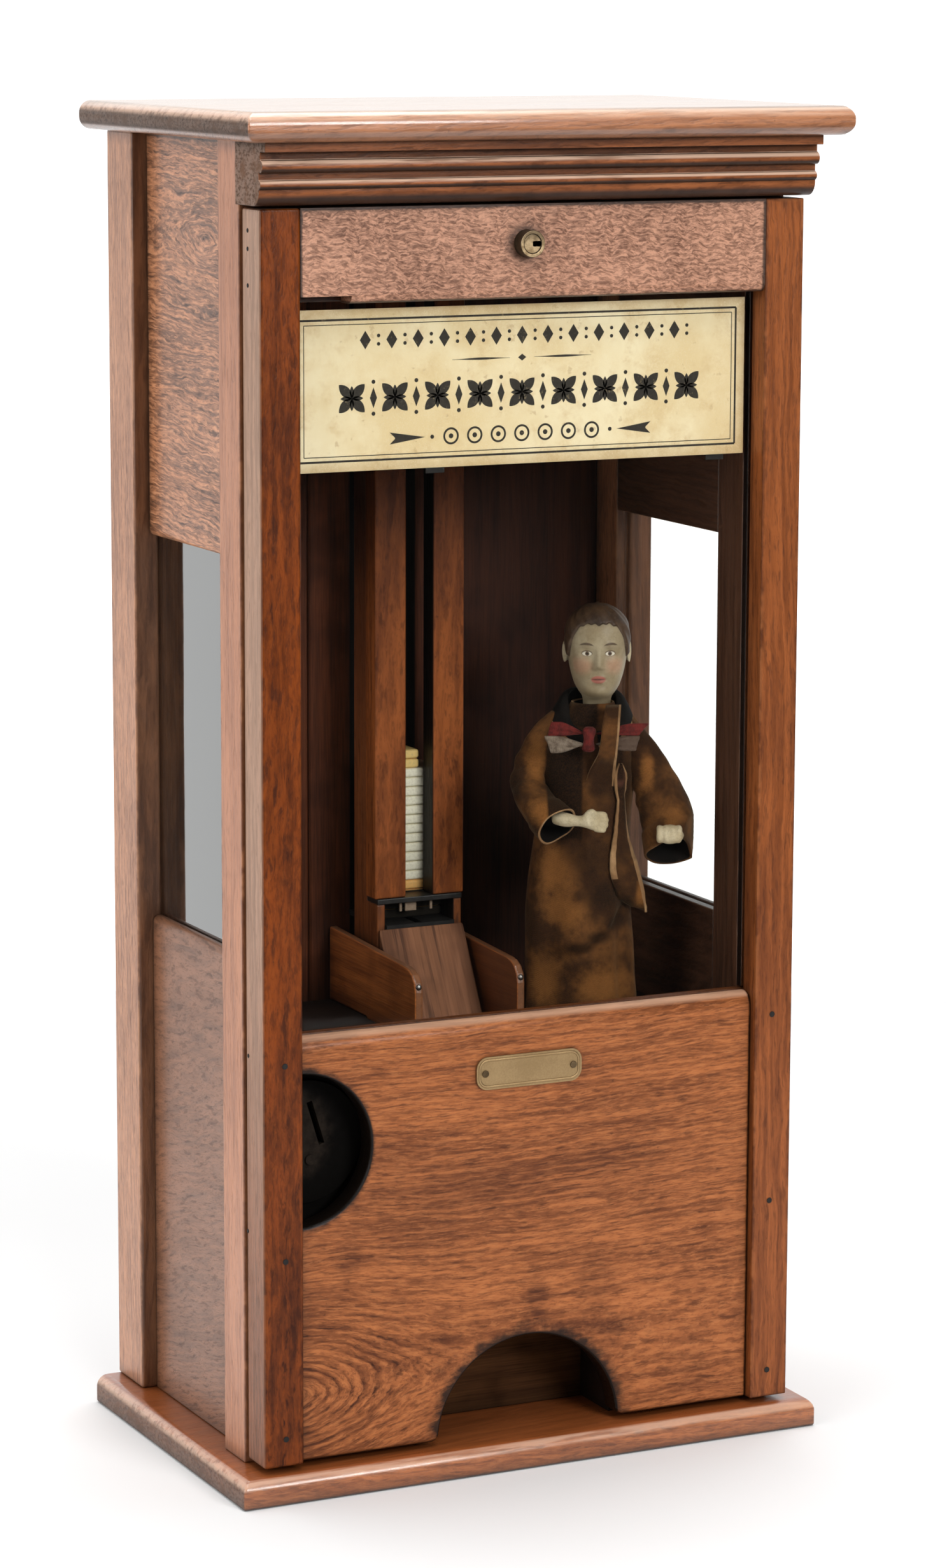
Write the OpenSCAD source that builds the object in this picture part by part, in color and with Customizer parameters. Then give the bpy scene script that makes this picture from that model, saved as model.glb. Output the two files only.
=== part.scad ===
// Oak gum vending machine: glazed case, side-hung door, gum magazine and turning doll.
// Millimetres. Z is up, the front is -Y, the origin is the middle of the footprint.

/* [Case] */
// overall height
case_h = 610; // [590:1:640]
// width of the top board
top_w = 292; // [290:1:300]
// depth of the top board
top_d = 194; // [192:1:200]
// thickness of the top and base boards
board_t = 13; // [11:0.5:14]
// width of the cabinet across the posts
body_w = 266; // [264:1:268]
// thickness of posts
post_t = 19; // [18:0.5:20]
// lower edge of the side windows
win_lo = 239; // [230:1:250]
// upper edge of the side windows
win_hi = 415; // [380:1:440]

/* [Door] */
// width of the door
door_w = 264; // [262:1:264]
// width of the stiles
stile_w = 19; // [18:0.5:19]
// lower edge of the top rail
rail_lo = 527.7; // [515:0.1:540]
// upper edge of the lower panel
panel_hi = 208; // [200:1:214]
// radius of the coin hole at the left edge of the panel
coin_r = 34.5; // [28:0.5:38]
// radius of the pick-up arch
arch_r = 45; // [36:0.5:46]
// height of the sign card
sign_h = 70; // [40:1:70]

/* [Magazine] */
// gum tab width
gum_w = 34; // [28:0.5:34]
// gum tab depth, front to back
gum_l = 23; // [20:0.5:23]
// gum tab thickness
gum_t = 4.25; // [4:0.05:4.5]
// number of tabs above the bottom one
gum_n = 17; // [4:1:30]

/* [Doll] */
// height of the doll above the shelf
doll_h = 198; // [170:1:205]
// reach of the sleeves from the spindle
doll_r = 47; // [40:0.5:48]

/* [Movement] */
// gear module
gear_m = 1.5;
// teeth of the great wheel
great_n = 40;
// teeth of the spindle pinion
pinion_n = 12;

/* [Hidden] */
$fa = 4;
$fs = 0.6;
F = -76;                      // door front plane
DB = F + 19;                  // door back plane
PF = DB + 1;                  // front face of the posts
px = body_w / 2;              // outer face of the posts
pi0 = px - post_t;            // inner face of the posts
dx = door_w / 2;              // outer edge of the stiles
di = dx - stile_w;            // inner edge of the stiles
zt = case_h - board_t;        // underside of the top board
zb = board_t;                 // top of the base board
door_lo = zb + 2.5;
door_hi = zt - 28.2;
fp1 = PF + 23;                // back of the front posts
rp0 = 66;                     // front of the rear posts
rp1 = 96;                     // back of the rear posts
bk = 86;                      // front face of the back boards
gx = px - 13;                 // middle of the side glass
hx = px + 3;                  // hinge axis
hy = (DB + PF) / 2;
lock_x = -6;
lock_z = door_hi - 17;
sp = [61, -12];               // doll spindle
gd = gear_m * (great_n + pinion_n) / 2;
gw = [sp[0], sp[1] + gd];     // great wheel arbor
shelf_z = 186;
mag_y = 44.5;                 // front of the magazine
mag_t = 11.4;                 // thickness of its front strips
fl_z = 228.5;                 // top of the magazine floor
gate_z = 238.6;               // underside of the gate above the way out
slope_x = 21.7;               // half width of the delivery slope
ex = [61, 150];               // ejector pivot (y, z)
ex_l = 82.6;                  // pivot to finger tip
ex_a = 14.74;                 // half swing
clev = [-14, 86];             // coin lever stud (y, z)
ironc = [0.12, 0.12, 0.12];
brassc = [0.72, 0.58, 0.3];
oakc = [0.55, 0.36, 0.2];
darkc = [0.36, 0.2, 0.12];

// box from corner to corner
module bx(x0, x1, y0, y1, z0, z1) { translate([x0, y0, z0]) cube([x1 - x0, y1 - y0, z1 - z0]); }
// both sides of the X middle plane
module both() { children(); mirror([1, 0, 0]) children(); }
// rectangle with two rounded corners at its upper-coordinate end
module nose2(x0, x1, z0, z1, r) {
  translate([x0, z0]) square([x1 - x0 - r, z1 - z0]);
  translate([x1 - r - 0.01, z0 + r]) square([r + 0.01, z1 - z0 - 2 * r]);
  translate([x1 - r, z0 + r]) circle(r);
  translate([x1 - r, z1 - r]) circle(r);
}
// rectangle with its upper outer corner rounded
module nose1(x0, x1, z0, z1, r) {
  translate([x0, z0]) square([x1 - x0 - r, z1 - z0]);
  translate([x1 - r - 0.01, z0]) square([r + 0.01, z1 - z0 - r]);
  translate([x1 - r, z1 - r]) circle(r);
}
// push a drawing of (y, z) along X
module alongx(x0, x1) { translate([x0, 0, 0]) rotate([90, 0, 90]) linear_extrude(x1 - x0) children(); }
// push a drawing of (x, z) along Y
module alongy(y0, y1) { translate([0, y1, 0]) rotate([90, 0, 0]) linear_extrude(y1 - y0) children(); }
module cylx(x0, x1, y, z, r) { translate([x0, y, z]) rotate([0, 90, 0]) cylinder(r = r, h = x1 - x0); }
module cyly(y0, y1, x, z, r) { translate([x, y1, z]) rotate([90, 0, 0]) cylinder(r = r, h = y1 - y0); }
module cylz(z0, z1, x, y, r) { translate([x, y, z0]) cylinder(r = r, h = z1 - z0); }

// involute tooth half angle at radius r, degrees
function inv(a) = tan(a) * 180 / PI - a;
function half_at(r, n, m) = let (pa = 25, rb = m * n / 2 * cos(pa), c = min(1, rb / r))
  (90 - 5.5) / n + inv(pa) - inv(acos(c));
function tooth(n, m, a) = let (ra = m * (n / 2 + 0.95), rf = m * (n / 2 - 1.15), rb = m * n / 2 * cos(25),
    r1 = max(rf + 0.1, rb), rs = [for (k = [0 : 3]) r1 + (ra - r1) * k / 3])
  concat([[rf, a - 180 / n + 0.35 * (180 / n - half_at(r1, n, m))]],
    [[rf, a - half_at(r1, n, m)]], [for (r = rs) [r, a - half_at(r, n, m)]],
    [for (k = [3 : -1 : 0]) [rs[k], a + half_at(rs[k], n, m)]], [[rf, a + half_at(r1, n, m)]]);
module gear2d(n, m) {
  p = [for (i = [0 : n - 1]) each tooth(n, m, i * 360 / n)];
  polygon([for (q = p) [q[0] * cos(q[1]), q[0] * sin(q[1])]]);
}

// ---- case ----
module base_board() color(oakc) intersection() {
  alongy(-82, rp1) both() nose1(-1, top_w / 2 - 1.5, 0, zb, 5.5);
  alongx(-150, 150) mirror([1, 0]) nose1(-rp1, 82, 0, zb, 5.5);
}
module top_board() color(oakc) intersection() {
  alongy(-top_d / 2, top_d / 2) both() nose2(-1, top_w / 2, zt, case_h, 5.6);
  alongx(-150, 150) mirror([1, 0]) nose2(-top_d / 2, top_d / 2, zt, case_h, 5.6);
}
// profile of the crown from the top down: fascia, quirk, bead, quirk, small bead, quarter round
module crown_moulding() color(oakc) alongx(-134.5, 134.5) {
  y0 = F - 12.2;
  translate([y0, zt - 4.2]) square([14, 4.2]);
  translate([y0 + 5.5, zt - 7.9]) square([9, 7.9]);
  translate([y0 + 7, zt - 21]) square([8, 21]);
  translate([y0 + 5.8, zt - 10.2]) circle(2.8);
  translate([y0 + 7.2, zt - 18]) circle(2);
  translate([y0 + 13, zt - 20.8]) circle(6.2);
  translate([y0 + 13, zt - 27]) square([PF - y0 - 13, 27]);
}
module head_rail() color(oakc) difference() {
  bx(-pi0, pi0, PF, PF + 19, zt - 26, zt);
  bx(lock_x - 27, lock_x + 8, PF + 1.5, PF + 8.5, zt - 27, zt - 12);
}
module hinge_z() { for (z = [120, 452]) translate([0, 0, z]) children(); }
module front_posts() color(oakc) difference() {
  both() difference() {
    bx(pi0, px, PF, fp1, zb, zt);
    bx(gx - 1.3, gx + 1.3, fp1 - 3, fp1 + 1, win_lo - 3.4, win_hi + 3.4);
  }
  hinge_z() bx(px - 13, px + 1, PF - 1, PF + 1.2, -0.2, 42.2);
}
module rear_posts() color(oakc) both() difference() {
  bx(pi0, px, rp0, rp1, zb, zt);
  bx(gx - 1.3, gx + 1.3, rp0 - 1, rp0 + 3, win_lo - 3.4, win_hi + 3.4);
}
module upper_side_panels() color(oakc) both() difference() {
  alongy(fp1, rp0) translate([0, win_hi + zt]) mirror([0, 1]) nose1(pi0, px - 7, win_hi, zt, 3);
  bx(gx - 1.3, gx + 1.3, fp1 - 1, rp0 + 1, win_hi - 1, win_hi + 3.4);
}
module lower_side_panels() color(oakc) both() difference() {
  alongy(fp1, rp0) nose1(pi0, px - 7, zb, win_lo, 3);
  bx(gx - 1.3, gx + 1.3, fp1 - 1, rp0 + 1, win_lo - 3.4, win_lo + 1);
}
module side_glasses() color([0.8, 0.88, 0.86, 0.35]) both()
  bx(gx - 1, gx + 1, fp1 - 2.7, rp0 + 2.7, win_lo - 3.1, win_hi + 3.1);
module back_boards() color(darkc) {
  w = 2 * pi0 / 3;
  for (i = [0 : 2]) translate([-pi0 + i * w, 0, 0]) linear_extrude(zt - zb, convexity = 4) polygon([
    [0.15, bk + 1], [1.15, bk], [w - 1.15, bk], [w - 0.15, bk + 1], [w - 0.15, bk + 10], [0.15, bk + 10]]);
}
module back_lift() { translate([0, 0, zb]) back_boards(); }
module shelf() color(darkc) difference() {
  bx(-pi0, pi0, fp1, bk, shelf_z - 10, shelf_z);
  bx(-28.4, 28.4, fp1 - 1, mag_y - 1, shelf_z - 11, shelf_z + 1);
  bx(-5, 5, mag_y - 2, 77, shelf_z - 11, shelf_z + 1);
  bx(-pi0 - 1, -78, fp1 - 1, fp1 + 6, shelf_z - 11, shelf_z + 1);
  cylz(shelf_z - 11, shelf_z + 1, sp[0], sp[1], 3.05);
  cylz(shelf_z - 11, shelf_z + 1, gw[0], gw[1], 6);
}
module slope_board() color([0.6, 0.46, 0.32]) alongx(-slope_x, slope_x)
  polygon([[42.7, 227.3], [42.7, 216], [19, 172.5], [-24, 142], [-31, 142], [-31, 144.5], [14, 175]]);
// cheeks beside the slope, rounded at the front and standing on the shelf behind
module slope_cheeks() color([0.45, 0.22, 0.13]) both() alongx(24, 28) polygon([[-2, 160], [-2, 171], [-10.3, 171],
  [-10.3, 208], [-9.3, 212.3], [-6.6, 215.6], [-3, 217.4], [1, 218.1], [42, 219.9], [bk - 0.5, 221.5],
  [bk - 0.5, shelf_z], [42.9, shelf_z], [42.9, 160]]);
module cup_back() color([0.5, 0.36, 0.24]) bx(-48, 48, -31, -25, zb, 142);
module cup_sides() color(darkc) both() bx(48, 54, -58, -25, zb, 142);
module magazine_strips() color(oakc) both() bx(6.9, 22.8, mag_y, mag_y + mag_t, gate_z + 2.4, 545);
// side walls; their feet come forward to carry the gate
module magazine_walls() color(oakc) both() alongx(gum_w / 2 + 0.6, 21.7) polygon([
  [mag_y, shelf_z], [71, shelf_z], [71, 545], [mag_y + mag_t, 545], [mag_y + mag_t, gate_z], [mag_y, gate_z]]);
module magazine_floor() color(ironc) difference() {
  bx(-gum_w / 2 - 0.4, gum_w / 2 + 0.4, 43.2, bk, fl_z - 2.5, fl_z);
  bx(-2, 2, 45.2, bk + 1, fl_z - 3, fl_z + 1);
}
// plate under the strips with three short fingers above the way out
module gate_strap() color(ironc) {
  bx(-21.7, 21.7, mag_y - 0.5, mag_y + mag_t, gate_z, gate_z + 2.4);
  both() bx(7.2, 8.5, 48.3, 49.5, 233.6, gate_z + 0.1);
  bx(-5.6, 0.2, 48.3, 49.5, 233.6, gate_z + 0.1);
}
module tab_at(k, w) {
  z = fl_z + 0.2 + k * (gum_t + 0.2);
  bx(-w, w, mag_y + mag_t + 0.6, mag_y + mag_t + 0.6 + gum_l, z, z + gum_t);
}
// the two topmost are a narrower make
module gum_stack() color([0.86, 0.88, 0.78]) for (k = [1 : gum_n]) tab_at(k, k > gum_n - 2 ? 5.4 : gum_w / 2);
// slanted coin slot
module slot_cut() { translate([-98.3, 0, 165.2]) rotate([0, -17, 0]) cube([2.6, 30, 20.5], center = true); }
module coin_plate() color(ironc) {
  difference() {
    bx(-pi0, -66, PF + 2, PF + 3.6, 112, 200);
    translate([0, PF, 0]) slot_cut();
    cyly(PF, PF + 6, -101.3, 148.8, 1.6);
  }
  bx(-pi0, -pi0 + 1.6, PF + 3.5, fp1 - 3, 112, 200);
}
module coin_escutcheon() color(ironc) {
  difference() {
    intersection() {
      cyly(PF, PF + 2, -104, 157, 28);
      bx(-pi0 + 0.3, 0, PF - 1, PF + 3, 100, 220);
    }
    translate([0, PF, 0]) slot_cut();
  }
  cyly(PF - 1.2, PF + 0.5, -101.3, 148.8, 2.3);
  cyly(PF + 1.5, PF + 3.6, -101.3, 148.8, 1.6);
}
module coin_chute() color([0.2, 0.2, 0.2]) translate([-98.3, PF + 3.6, 165.2]) rotate([0, -17, 0]) difference() {
  translate([-3.1, 0, -68]) cube([6.2, 24, 82]);
  translate([-1.9, -1, -70]) cube([3.8, 23.5, 82]);
}
module coin_stud() color(ironc) {
  bx(-pi0, -pi0 + 2, clev[0] - 14, clev[0] + 14, clev[1] - 12, clev[1] + 18);
  cylx(-pi0 + 1, -62, clev[0], clev[1], 2.5);
  cylx(-64, -61, clev[0], clev[1], 4);
}
module coin_lever() color([0.3, 0.3, 0.3]) difference() {
  union() {
    cylx(-92, -64.4, clev[0], clev[1], 4.6);
    bx(-90, -66, clev[0] - 34, clev[0], clev[1] - 1, clev[1] + 1);
    bx(-90, -66, clev[0] - 34, clev[0] - 32, clev[1] - 1, clev[1] + 4);
    bx(-80, -76, clev[0], clev[0] + 26, clev[1] - 2, clev[1] + 2);
    cylx(-88, -68, clev[0] + 30, clev[1], 7);
  }
  cylx(-120, -50, clev[0], clev[1], 2.55);
}
module cash_box() color([0.25, 0.22, 0.2]) difference() {
  bx(-112, -58, -40, 62, zb, 62);
  bx(-110.5, -59.5, -38.5, 60.5, zb + 1.5, 63);
}

// ---- movement ----
pil = [[32, -19], [104, -19], [32, 62], [104, 62]];
module movement_plates() color(brassc) for (z = [74, 112]) difference() {
  bx(26, 110, -24.2, 68, z, z + 2.5);
  for (q = pil) cylz(z - 1, z + 4, q[0], q[1], 2);
  cylz(z - 1, z + 4, sp[0], sp[1], 3.05);
  cylz(z - 1, z + 4, gw[0], gw[1], 3.55);
}
module movement_posts() color(brassc) for (q = pil) {
  cylz(zb, 74, q[0], q[1], 4.5);
  cylz(73.9, 76.6, q[0], q[1], 2);
  cylz(76.5, 112, q[0], q[1], 3.5);
  cylz(111.9, 114.6, q[0], q[1], 2);
  cylz(114.5, 118, q[0], q[1], 3.5);
}
module great_wheel() color(brassc) translate([gw[0], gw[1], 82]) linear_extrude(5, convexity = 6) difference() {
  gear2d(great_n, gear_m);
  circle(3.5);
}
module spring_drum() color(brassc) translate([gw[0], gw[1], 0]) difference() {
  cylz(87, 106, 0, 0, 25);
  cylz(86, 104.5, 0, 0, 23.5);
  cylz(80, 110, 0, 0, 3.5);
}
module winding_arbor() color([0.6, 0.6, 0.62]) translate([gw[0], gw[1], 0]) {
  cylz(71, 184, 0, 0, 3.5);
  translate([-2.4, -2.4, 183.9]) cube([4.8, 4.8, 12]);
}
module spindle_pinion() color(brassc) translate([sp[0], sp[1], 81]) rotate(180 / pinion_n) linear_extrude(7, convexity = 6) difference() {
  gear2d(pinion_n, gear_m);
  circle(3);
}
module doll_spindle() color([0.6, 0.6, 0.62]) cylz(71, shelf_z + 30, sp[0], sp[1], 3);

// ---- ejector ----
module ejector_bracket() color(ironc) difference() {
  union() {
    bx(-14, 14, bk - 2, bk, ex[1] - 16, ex[1] + 16);
    both() bx(6, 8, ex[0] - 6, bk - 1.9, ex[1] - 6, ex[1] + 6);
  }
  cylx(-20, 20, ex[0], ex[1], 2);
}
module ejector_pin() color([0.55, 0.55, 0.57]) {
  cylx(-9.5, 9.5, ex[0], ex[1], 2);
}
module ejector_arm() color([0.3, 0.3, 0.3]) difference() {
  union() {
    cylx(-5.6, 5.6, ex[0], ex[1], 5);
    translate([0, ex[0], ex[1]]) rotate([-ex_a, 0, 0]) {
      bx(-1.4, 1.4, -3.5, 3.5, 0, ex_l - 14);
      bx(-1.4, 1.4, -1.5, 1.5, ex_l - 14.1, ex_l);
      bx(-1.4, 1.4, -3, 3, -26, 0);
    }
  }
  cylx(-20, 20, ex[0], ex[1], 2.05);
}
module bottom_gum() color([0.9, 0.75, 0.25]) tab_at(0, gum_w / 2);

// ---- hinges ----
module knuckle(z0, z1) { cylz(z0, z1, hx, hy, 2.2); }
module leaf(y0, y1, ks) {
  difference() {
    union() {
      bx(px - 13, hx - 2.7, y0, y1, 0, 42);
      for (k = ks) {
        bx(hx - 2.8, hx, y0, y1, k[0], k[1]);
        knuckle(k[0], k[1]);
      }
    }
    cylz(-1, 43, hx, hy, 1.25);
    for (z = [8, 34]) cyly(y0 - 1, y1 + 1, px - 6.5, z, 1.7);
  }
}
module hinge_leaves_case() color(brassc) hinge_z() leaf(PF, PF + 1.2, [[0, 8.2], [16.9, 25.1], [33.8, 42]]);
module hinge_leaves_door() color(brassc) hinge_z() leaf(DB - 1.2, DB, [[8.5, 16.6], [25.4, 33.5]]);
module hinge_pins() color([0.6, 0.5, 0.3]) hinge_z() {
  cylz(-1.5, 43.5, hx, hy, 1.2);
  cylz(-1.8, -0.2, hx, hy, 2);
  cylz(42.2, 43.8, hx, hy, 2);
}

// ---- door ----
module stile() difference() {
  bx(di, dx, F, DB, door_lo, door_hi);
  bx(di - 1, di + 6, DB - 7, DB + 1, panel_hi - 7, rail_lo + 6.5);
}
module door_stile_left() color(oakc) mirror([1, 0, 0]) stile();
module door_stile_right() color(oakc) difference() {
  stile();
  hinge_z() bx(px - 13, px + 1, DB - 1.2, DB + 1, -0.2, 42.2);
}
module door_top_rail() color(oakc) difference() {
  alongx(-di, di) {
    translate([F + 0.4, rail_lo + 4]) square([18.6, door_hi - rail_lo - 4]);
    translate([F + 4.4, rail_lo]) square([14.6, 6]);
    translate([F + 4.4, rail_lo + 4]) circle(4);
  }
  bx(-di - 1, di + 1, DB - 7, DB + 1, rail_lo - 1, rail_lo + 6.5);
  bx(-di - 1, -di + 24, F - 1, DB + 1, rail_lo - 1, rail_lo + 3.5);
  cyly(F - 1, DB + 1, lock_x, lock_z, 5.9);
}
foot_x = sqrt(arch_r * arch_r - 25); // half width of the arch 4 mm above the panel's lower edge
module door_panel() color(oakc) difference() {
  intersection() {
    alongx(-di, di) {
      translate([F + 4, door_lo]) square([12, panel_hi - 6 - door_lo]);
      translate([F + 10, door_lo]) square([6, panel_hi - door_lo]);
      translate([F + 10, panel_hi - 6]) circle(6);
    }
    bx(-di, di, F, DB, 0, panel_hi);
  }
  bx(-di - 1, di + 1, DB - 7, DB + 1, panel_hi - 7, panel_hi + 1);
  cyly(F, DB, -di, 157, coin_r);
  cyly(F, DB, 0, door_lo - 1, arch_r);
  // worn corners at the feet of the arch
  for (s = [-1, 1]) difference() {
    translate([s * (foot_x + 1.5), (F + DB) / 2, door_lo + 1.5]) cube([5, 30, 5], center = true);
    cyly(F - 2, DB + 8, s * (foot_x + 4), door_lo + 4, 4);
  }
}
module door_glass() color([0.8, 0.88, 0.86, 0.35]) bx(-di - 5.7, di + 5.7, DB - 7, DB - 4.7, panel_hi - 6.8, rail_lo + 6.3);
module glass_stops() color(oakc) {
  both() bx(di + 0.2, di + 5.8, DB - 4.6, DB - 0.3, panel_hi, rail_lo);
  bx(-di - 5.8, di + 5.8, DB - 4.6, DB - 0.3, rail_lo + 0.2, rail_lo + 6.2);
  bx(-di - 5.8, di + 5.8, DB - 4.6, DB - 0.3, panel_hi - 6.8, panel_hi - 0.2);
}
module sign_card() color([0.85, 0.78, 0.62]) bx(-di + 1, di - 2.5, DB - 4.5, DB - 3.7, rail_lo - 3.2 - sign_h, rail_lo - 3.2);
module sign_clips() color(ironc) for (x = [-47, 92]) {
  bx(x, x + 9, DB - 3.6, DB - 3, rail_lo - 5.7 - sign_h, rail_lo + 0.8 - sign_h);
}
module plate_2d() hull() for (x = [-20.75, 20.75], z = [-2, 2]) translate([x, z]) circle(5.5);
module name_plate() color(brassc) difference() {
  translate([-1, 0, 183.4]) alongy(F + 2.8, F + 4) plate_2d();
  for (x = [-22, 22]) cyly(F, F + 6, x - 1, 183.4, 0.9);
}
module plate_pins() color(brassc) for (x = [-22, 22]) {
  cyly(F + 2.2, F + 2.8, x - 1, 183.4, 1.6);
  cyly(F + 2.7, F + 4, x - 1, 183.4, 0.9);
}
module door_nails() color(ironc) both() for (z = [28.3, 109.4, 197.4]) cyly(F - 0.3, F, di + 8.7, z, 1.3);
module lock_barrel() color(brassc) difference() {
  union() {
    cyly(F - 6, DB, lock_x, lock_z, 5.9);
    translate([lock_x, DB + 3, lock_z]) rotate([90, 0, 0]) cylinder(r = 10, h = 3, $fn = 6);
  }
  cyly(F - 9, DB + 4, lock_x, lock_z, 4.25);
}
module lock_plug() color(brassc) difference() {
  union() {
    cyly(F - 5.6, DB + 4.2, lock_x, lock_z, 4.2);
    cyly(DB + 6.6, DB + 8.2, lock_x, lock_z, 4);
    cyly(DB + 4.1, DB + 6.7, lock_x, lock_z, 3);
  }
  translate([lock_x + 0.4, F - 8, lock_z - 0.9]) cube([6, 8, 1.8]);
}
module lock_tongue() color([0.55, 0.5, 0.42]) difference() {
  union() {
    cyly(DB + 4.2, DB + 6.6, lock_x, lock_z, 6);
    bx(lock_x - 27, lock_x, DB + 4.2, DB + 6.6, lock_z - 4, lock_z + 4);
  }
  cyly(DB, DB + 9, lock_x, lock_z, 3);
}

// ---- doll ----
fa = -24.5;                  // the doll faces the left front
module doll() { translate([sp[0], sp[1], 0]) rotate(fa) children(); }
dt = shelf_z + doll_h;       // top of the head
module doll_turntable() color(darkc) difference() {
  cylz(shelf_z + 2, shelf_z + 6, sp[0], sp[1], 24);
  cylz(shelf_z, shelf_z + 8, sp[0], sp[1], 3);
}
// a round limb from one point to the next
module limb(a, b, r1, r2) {
  d = b - a;
  translate(a) rotate([0, acos(d[2] / norm(d)), atan2(d[1], d[0])]) cylinder(r1 = r1, r2 = r2, h = norm(d));
}
// shoulder, elbow and wrist of each arm: one folded across the front, one held out
ak = doll_r / 47;
arm_l = [[-18, 0, dt - 61], [-33 * ak, -11, dt - 86], [-17, -27 * ak, dt - 98]];
arm_r = [[18, 0, dt - 62], [36 * ak, 2, dt - 95], [33 * ak, -17, dt - 102]];
module arm(p) {
  limb(p[0], p[1], 9.5, 8.5);
  translate(p[1]) sphere(10.2);
  limb(p[1], p[2], 8.5, 10.5);
}
module doll_robe() color([0.35, 0.22, 0.14]) doll() difference() {
  union() {
    cylz(shelf_z + 6, shelf_z + 60, -3, 0, 26);
    translate([-3, 0, shelf_z + 60]) cylinder(r1 = 26, r2 = 23, h = 50);
    translate([-3, 0, shelf_z + 110]) cylinder(r1 = 23, r2 = 13, h = dt - 48 - shelf_z - 110);
    arm(arm_l);
    arm(arm_r);
  }
  cylz(shelf_z, shelf_z + 30, 0, 0, 3);
}
module doll_head() color([0.85, 0.72, 0.55]) doll() rotate_extrude() polygon(concat(
  [[0, dt - 48], [7, dt - 48], [7, dt - 42]],
  [for (a = [-62 : 8 : 82]) [16 * cos(a), dt - 23 + 23 * sin(a)]], [[0, dt]]));
module hand(p) {
  d = (p[2] - p[1]) / norm(p[2] - p[1]);
  limb(p[2], p[2] + 8 * d, 3.5, 3.5);
  translate(p[2] + 9 * d) sphere(5);
}
module doll_hands() color([0.85, 0.72, 0.55]) doll() {
  hand(arm_l);
  hand(arm_r);
}
module doll_bow() color([0.65, 0.08, 0.08]) doll() {
  for (s = [-1, 1]) translate([0, -24, dt - 60]) rotate([0, s * 78, 0]) cylinder(r1 = 2, r2 = 7, h = 15);
  translate([0, -24, dt - 60]) sphere(4.5);
}

base_board();
top_board();
crown_moulding();
head_rail();
front_posts();
rear_posts();
upper_side_panels();
lower_side_panels();
side_glasses();
back_lift();  // back_boards
shelf();
slope_board();
slope_cheeks();
cup_back();
cup_sides();
magazine_strips();
magazine_walls();
magazine_floor();
gate_strap();
gum_stack();
coin_plate();
coin_escutcheon();
coin_chute();
coin_stud();
cash_box();
movement_plates();
movement_posts();
ejector_bracket();
ejector_pin();
hinge_leaves_case();
hinge_pins();
door_stile_left();
door_stile_right();
door_top_rail();
door_panel();
door_glass();
glass_stops();
sign_card();
sign_clips();
name_plate();
plate_pins();
lock_barrel();
hinge_leaves_door();
door_nails();
lock_plug();
lock_tongue();
coin_lever();
ejector_arm();
bottom_gum();
doll_spindle();
spindle_pinion();
doll_turntable();
doll_robe();
doll_head();
doll_hands();
doll_bow();
great_wheel();
spring_drum();
winding_arbor();
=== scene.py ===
import math
import bpy
import bmesh
from mathutils import Matrix, Vector, noise

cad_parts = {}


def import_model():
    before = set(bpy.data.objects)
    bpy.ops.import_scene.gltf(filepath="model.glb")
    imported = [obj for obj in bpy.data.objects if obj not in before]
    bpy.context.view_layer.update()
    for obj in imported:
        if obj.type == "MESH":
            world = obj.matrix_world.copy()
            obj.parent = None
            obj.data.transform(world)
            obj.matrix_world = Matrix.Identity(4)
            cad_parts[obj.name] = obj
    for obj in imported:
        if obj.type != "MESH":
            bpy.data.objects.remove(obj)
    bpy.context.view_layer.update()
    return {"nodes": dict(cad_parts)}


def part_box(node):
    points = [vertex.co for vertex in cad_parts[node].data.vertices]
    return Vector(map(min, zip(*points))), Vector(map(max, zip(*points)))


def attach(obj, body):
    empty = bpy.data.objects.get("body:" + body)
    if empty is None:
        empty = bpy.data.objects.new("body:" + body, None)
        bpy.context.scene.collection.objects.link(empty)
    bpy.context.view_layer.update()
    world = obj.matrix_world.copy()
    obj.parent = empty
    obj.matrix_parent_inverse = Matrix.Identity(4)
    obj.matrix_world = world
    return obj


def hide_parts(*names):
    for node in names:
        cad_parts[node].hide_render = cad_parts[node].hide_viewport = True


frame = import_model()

NODES = frame["nodes"]
MM = 0.001
scene = bpy.context.scene
scene.view_settings.view_transform = "Standard"
scene.view_settings.look = "None"
scene.view_settings.exposure = 0.0


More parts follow.
